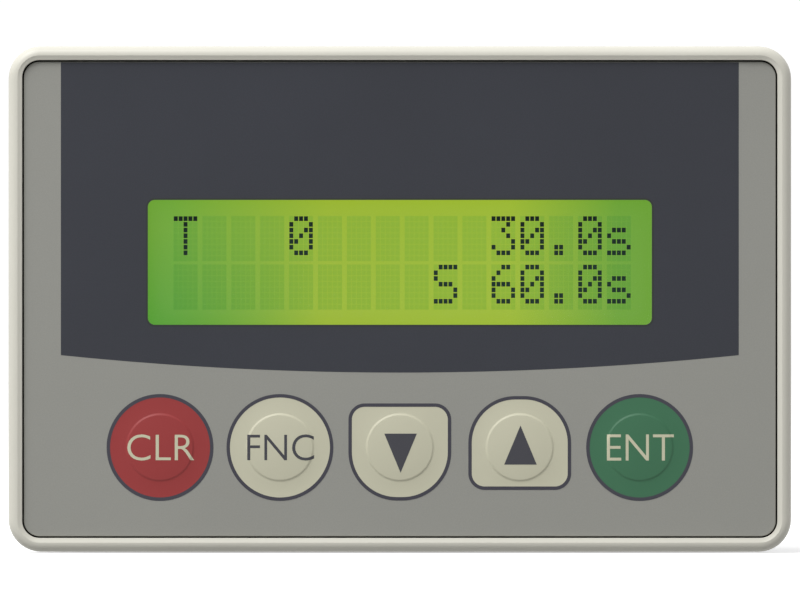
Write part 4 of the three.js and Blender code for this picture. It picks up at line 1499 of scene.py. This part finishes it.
@dataclass
class Rear:
    """Everything behind the panel: gasket, case, clamps, terminals and the boards inside."""

    poles: int = 4
    number_height: float = 2.4 * MM
    flag_share: float = 0.26
    flag_angle: float = math.radians(-38)
    contact_margin: float = 0.3 * MM
    contact_thickness: float = 0.012 * MM
    contact_lift: float = 0.004 * MM
    contact_hole: float = 3.8 * MM
    print_thickness: float = 0.03 * MM
    recess: float = 2.3 * MM
    recess_arm: float = 0.55 * MM
    recess_depth: float = 0.5 * MM

    def build(self) -> None:
        """Builds the pieces behind the panel."""
        self.build_gasket()
        for place in ("top", "bottom"):
            Moulding(f"clamp_bracket_{place}", Finish.BLACK, 0.25 * MM).build()
            Moulding(f"clamp_foot_{place}", Finish.BLACK, 0.3 * MM).build()
            Screw(
                f"clamp_screw_{place}",
                shank=4 * MM,
                head=5 * MM,
                head_height=2.6 * MM,
                pitch=0.7 * MM,
                slot_width=MM,
                slot_depth=MM,
                crown=0.3 * MM,
                tip=3 * MM,
                tip_length=1.65 * MM,
            ).build()
        for number in range(1, self.poles + 1):
            Moulding(f"terminal_washer_{number}", Finish.STEEL, 0.12 * MM).build()
            Screw(
                f"terminal_screw_{number}",
                shank=3.5 * MM,
                head=6.4 * MM,
                head_height=2.5 * MM,
                pitch=0.6 * MM,
                slot_width=0.9 * MM,
                slot_depth=0.9 * MM,
                crown=0.7 * MM,
            ).build()
            self.build_contact(number)
            self.build_number(number)
        Moulding("case", Finish.HOUSING, 0.35 * MM).build()
        Moulding("terminal_block", Finish.PHENOLIC, 0.3 * MM).build()
        self.build_inside()

    def build_gasket(self) -> None:
        """Builds the foam gasket with its slightly rounded outer edge."""
        low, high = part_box("panel_gasket")
        case_low, case_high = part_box("case")
        ring = Ring.even(high.x - low.x, high.z - low.z, 3.5 * MM, low.y)
        width, height = case_high.x - case_low.x + 0.6 * MM, case_high.z - case_low.z + 0.6 * MM
        hole = Ring.even(width, height, 2.3 * MM, low.y)
        bulge = 0.12 * MM
        rings = [
            hole,
            ring.grown(-bulge, low.y),
            ring.grown(-bulge / 3, low.y + 0.15 * MM),
            ring.grown(0, (low.y + high.y) / 2),
            ring.grown(-bulge / 3, high.y - 0.15 * MM),
            ring.grown(-bulge, high.y),
            hole.grown(0, high.y),
        ]
        mesh = bmesh.new()
        outer_front, outer_rear = loft(mesh, rings[1:6], False, False)
        inner_front, inner_rear = loft(mesh, [rings[0], rings[6]], False, False)
        fill(mesh, outer_front, inner_front)
        fill(mesh, outer_rear, inner_rear)
        place_piece(mesh, "gasket_foam", Finish.RUBBER, HOUSING, ["panel_gasket"])

    def build_contact(self, number: int) -> None:
        """Builds the contact plate on the floor of a terminal bay.

        Args:
            number: the terminal's number.
        """
        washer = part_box(f"terminal_washer_{number}")
        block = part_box("terminal_block")
        floor = washer[0].y - 0.02 * MM
        top = washer[1].z
        bottom = block[0].z + self.contact_margin
        x = (washer[0].x + washer[1].x) / 2
        z = (washer[0].z + washer[1].z) / 2
        plate = Ring.even(washer[1].x - washer[0].x, top - bottom, 0.5 * MM, floor, x, (top + bottom) / 2)
        hole = Ring.round(self.contact_hole, floor, x, z)
        mesh = bmesh.new()
        fill(mesh, draw_ring(mesh, plate), draw_ring(mesh, hole))
        extruded(mesh, self.contact_thickness)
        bmesh.ops.translate(mesh, verts=mesh.verts, vec=(0, self.contact_lift, 0))
        place_piece(mesh, f"terminal_contact_{number}", Finish.BRASS, HOUSING)

    def build_number(self, number: int) -> None:
        """Builds the printed number above a terminal.

        Args:
            number: the terminal's number.
        """
        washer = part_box(f"terminal_washer_{number}")
        case_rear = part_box("case")[1].y
        mesh = lettering(str(number), 0, self.number_height)
        if number == 1:
            self.add_flag(mesh)
        turn = Matrix.Rotation(math.pi, 4, "Z")
        x = (washer[0].x + washer[1].x) / 2
        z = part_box("terminal_block")[1].z + 0.9 * self.number_height
        bmesh.ops.transform(mesh, matrix=Matrix.Translation((x, case_rear, z)) @ turn, verts=mesh.verts)
        extruded(mesh, self.print_thickness)
        place_piece(mesh, f"terminal_number_{number}", Finish.LEGEND_LIGHT, HOUSING)

    def add_flag(self, mesh: Mesh) -> None:
        """Gives the plain upright of the number 1 its slanting flag.

        Args:
            mesh: the flat number, centred on the origin.
        """
        stem = max(vert.co.x for vert in mesh.verts)
        flag = self.number_height * self.flag_share
        place = Matrix.Translation((0, 0, self.number_height / 2)) @ Matrix.Rotation(self.flag_angle, 4, "Y")
        place = place @ Matrix.Translation((-flag / 2, 0, -stem)) @ UPRIGHT
        place = place @ Matrix.Diagonal((flag, 2 * stem, 1, 1))
        bmesh.ops.create_grid(mesh, x_segments=1, y_segments=1, size=0.5, matrix=place)

    def build_inside(self) -> None:
        """Dresses the boards and what stands on them."""
        for node, finish, edge in (
            ("lcd_frame", Finish.BLACK_STEEL, 0.25),
            ("lcd_backlight", Finish.MILKY, 0.2),
            ("processor", Finish.BLACK, 0.3),
            ("relay", Finish.RELAY, 0.5),
            ("power_module", Finish.BLACK, 0.4),
            ("buzzer", Finish.BLACK, 0.4),
            ("trimmer_body", Finish.RELAY, 0.25),
        ):
            Moulding(node, finish, edge * MM).build()
        for node in ("lcd_board", "main_board"):
            paint(node, Finish.BOARD)
        paint("board_link", Finish.BLACK)
        paint("trimmer_rotor", Finish.MILKY)
        for number in range(1, 5):
            paint(f"standoff_{number}", Finish.BRASS)
            paint(f"board_screw_{number}", Finish.STEEL)
            self.build_case_screw(number)
        for name in ("clear", "function", "down", "up", "enter"):
            paint(f"switch_button_{name}", Finish.BLACK)
            Moulding(f"switch_body_{name}", Finish.BLACK, 0.2 * MM).build()
        self.build_capacitor()

    def build_case_screw(self, number: int) -> None:
        """Builds a countersunk case screw with its cross recess.

        Args:
            number: the screw's number.
        """
        node = f"case_screw_{number}"
        low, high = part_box(node)
        centre = (low + high) / 2
        centre.x = high.x if centre.x > 0 else low.x
        mesh = merged_copy(node)
        for across, up in ((self.recess, self.recess_arm), (self.recess_arm, self.recess)):
            arm = bmesh.new()
            place = Matrix.Translation(centre) @ Matrix.Diagonal((2 * self.recess_depth, across, up, 1))
            bmesh.ops.create_cube(arm, size=1.0, matrix=place)
            mesh = combined(mesh, arm, "DIFFERENCE")
        place_piece(mesh, f"{node}_head", Finish.STEEL, body_of(node), [node])

    def build_capacitor(self) -> None:
        """Builds the capacitor: sleeved can with a crimped foot and a bare top."""
        low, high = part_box("capacitor")
        radius = (high.x - low.x) / 2
        groove = low.y + 1.8 * MM
        profile = [
            (0.0, low.y),
            (radius - 0.5 * MM, low.y),
            (radius, low.y + 0.5 * MM),
            (radius, groove - 0.6 * MM),
            (radius - 0.4 * MM, groove),
            (radius, groove + 0.6 * MM),
            (radius, high.y - 0.5 * MM),
            (radius - 0.15 * MM, high.y - 0.15 * MM),
            (radius - 0.5 * MM, high.y),
            (radius - 1.1 * MM, high.y),
            (radius - 1.2 * MM, high.y - 0.1 * MM),
            (0.0, high.y - 0.1 * MM),
        ]
        mesh = bmesh.new()
        turned(mesh, profile, (low.x + high.x) / 2, (low.z + high.z) / 2)
        place_piece(mesh, "capacitor_can", Finish.SLEEVE, HOUSING, ["capacitor"])


# ---------------------------------------------------------------- studio


@dataclass
class Studio:
    """Pale floor, soft light and the camera."""

    distance: float = 1.5
    view_width: float = 98.05 * MM
    offset: tuple[float, float] = (0.02 * MM, -0.12 * MM)
    sky: tuple[float, float] = (0.38, 1.05)
    below: float = 0.75
    floor_lift: float = 0.5
    floor_shade: float = 0.78

    def build(self) -> None:
        """Builds the floor, lights, sky and camera."""
        self.build_floor()
        self.build_sky()
        self.build_light("key_light", (-0.5, -0.6, 0.95), 0.8, 18.0)
        self.build_camera()

    def build_floor(self) -> None:
        """Builds the pale floor."""
        mesh = bmesh.new()
        place = Matrix.Translation((0, 0, CAD_BOX[0].z - 0.2 * MM))
        bmesh.ops.create_circle(mesh, cap_ends=True, segments=96, radius=3.0, matrix=place)
        data = bpy.data.meshes.new("floor")
        mesh.to_mesh(data)
        mesh.free()
        floor = bpy.data.objects.new("floor", data)
        bpy.context.scene.collection.objects.link(floor)
        pale = (self.floor_shade,) * 3
        paint_coat = Plastic("floor_paint", "none", pale, 0.9, 5 * MM, 0.0, 0.01, shine=0.0).material()
        shader = paint_coat.node_tree.nodes["Principled BSDF"]
        shader.inputs["Emission Color"].default_value = (1, 1, 1, 1)
        shader.inputs["Emission Strength"].default_value = self.floor_lift
        data.materials.append(paint_coat)
        floor.visible_diffuse = False

    def build_sky(self) -> None:
        """Builds the even studio surroundings, lighter above than below."""
        world = bpy.data.worlds.new("studio")
        world.use_nodes = True
        bpy.context.scene.world = world
        nodes, links = world.node_tree.nodes, world.node_tree.links
        axes = nodes.new("ShaderNodeSeparateXYZ")
        links.new(nodes.new("ShaderNodeTexCoord").outputs["Generated"], axes.inputs["Vector"])
        depth = nodes.new("ShaderNodeMapRange")
        for socket, value in zip(("From Min", "From Max", "To Min", "To Max"), (-0.6, 0.6, *self.sky)):
            depth.inputs[socket].default_value = value
        links.new(axes.outputs["Y"], depth.inputs["Value"])
        height = nodes.new("ShaderNodeMapRange")
        for socket, value in zip(("From Min", "From Max", "To Min", "To Max"), (-0.3, 0.0, self.below, 1.0)):
            height.inputs[socket].default_value = value
        links.new(axes.outputs["Z"], height.inputs["Value"])
        both = nodes.new("ShaderNodeMath")
        both.operation = "MULTIPLY"
        links.new(depth.outputs["Result"], both.inputs[0])
        links.new(height.outputs["Result"], both.inputs[1])
        links.new(both.outputs["Value"], nodes["Background"].inputs["Strength"])
        nodes["Background"].inputs["Color"].default_value = (1, 1, 1, 1)
        bpy.context.scene.view_settings.view_transform = "Standard"

    def build_light(self, name: str, place: Sequence[float], size: float, power: float) -> None:
        """Builds a soft square light that faces the timer.

        Args:
            name: the light's name.
            place: where it stands.
            size: its side.
            power: its power in watts.
        """
        data = bpy.data.lights.new(name, "AREA")
        data.size = size
        data.energy = power
        light = bpy.data.objects.new(name, data)
        light.location = place
        light.rotation_euler = (-Vector(place)).to_track_quat("-Z", "Y").to_euler()
        bpy.context.scene.collection.objects.link(light)

    def build_camera(self) -> None:
        """Builds the camera, far in front with a long lens."""
        data = bpy.data.cameras.new("camera")
        data.sensor_width = 36.0
        data.lens = data.sensor_width * self.distance / self.view_width
        data.clip_end = 20.0
        camera = bpy.data.objects.new("camera", data)
        camera.location = (self.offset[0], CAD_BOX[0].y - self.distance, self.offset[1])
        camera.rotation_euler = (math.pi / 2, 0, 0)
        bpy.context.scene.collection.objects.link(camera)
        bpy.context.scene.camera = camera


def main() -> None:
    """Builds the timer and its studio."""
    logging.basicConfig(level=logging.INFO, format="%(name)s %(message)s")
    Studio().build()
    film = Film()
    keys = [
        Key("clear", Outline.ROUND, Finish.RED, "CLR", Finish.LEGEND_LIGHT),
        Key("function", Outline.ROUND, Finish.IVORY, "FNC", Finish.LEGEND_DARK),
        Key(
            "down",
            Outline.POINTS_DOWN,
            Finish.IVORY,
            "",
            Finish.LEGEND_DARK,
            round_side=6.5 * MM,
            flat_side=5.4 * MM,
        ),
        Key("up", Outline.POINTS_UP, Finish.IVORY, "", Finish.LEGEND_DARK),
        Key("enter", Outline.ROUND, Finish.GREEN, "ENT", Finish.LEGEND_LIGHT),
    ]
    Bezel().build(film.window(), keys)
    film.build(keys)
    for key in keys:
        key.build(film)
    Display().build()
    paint("display_window", Finish.PANE)
    Rear().build()


if __name__ == "__main__":
    main()
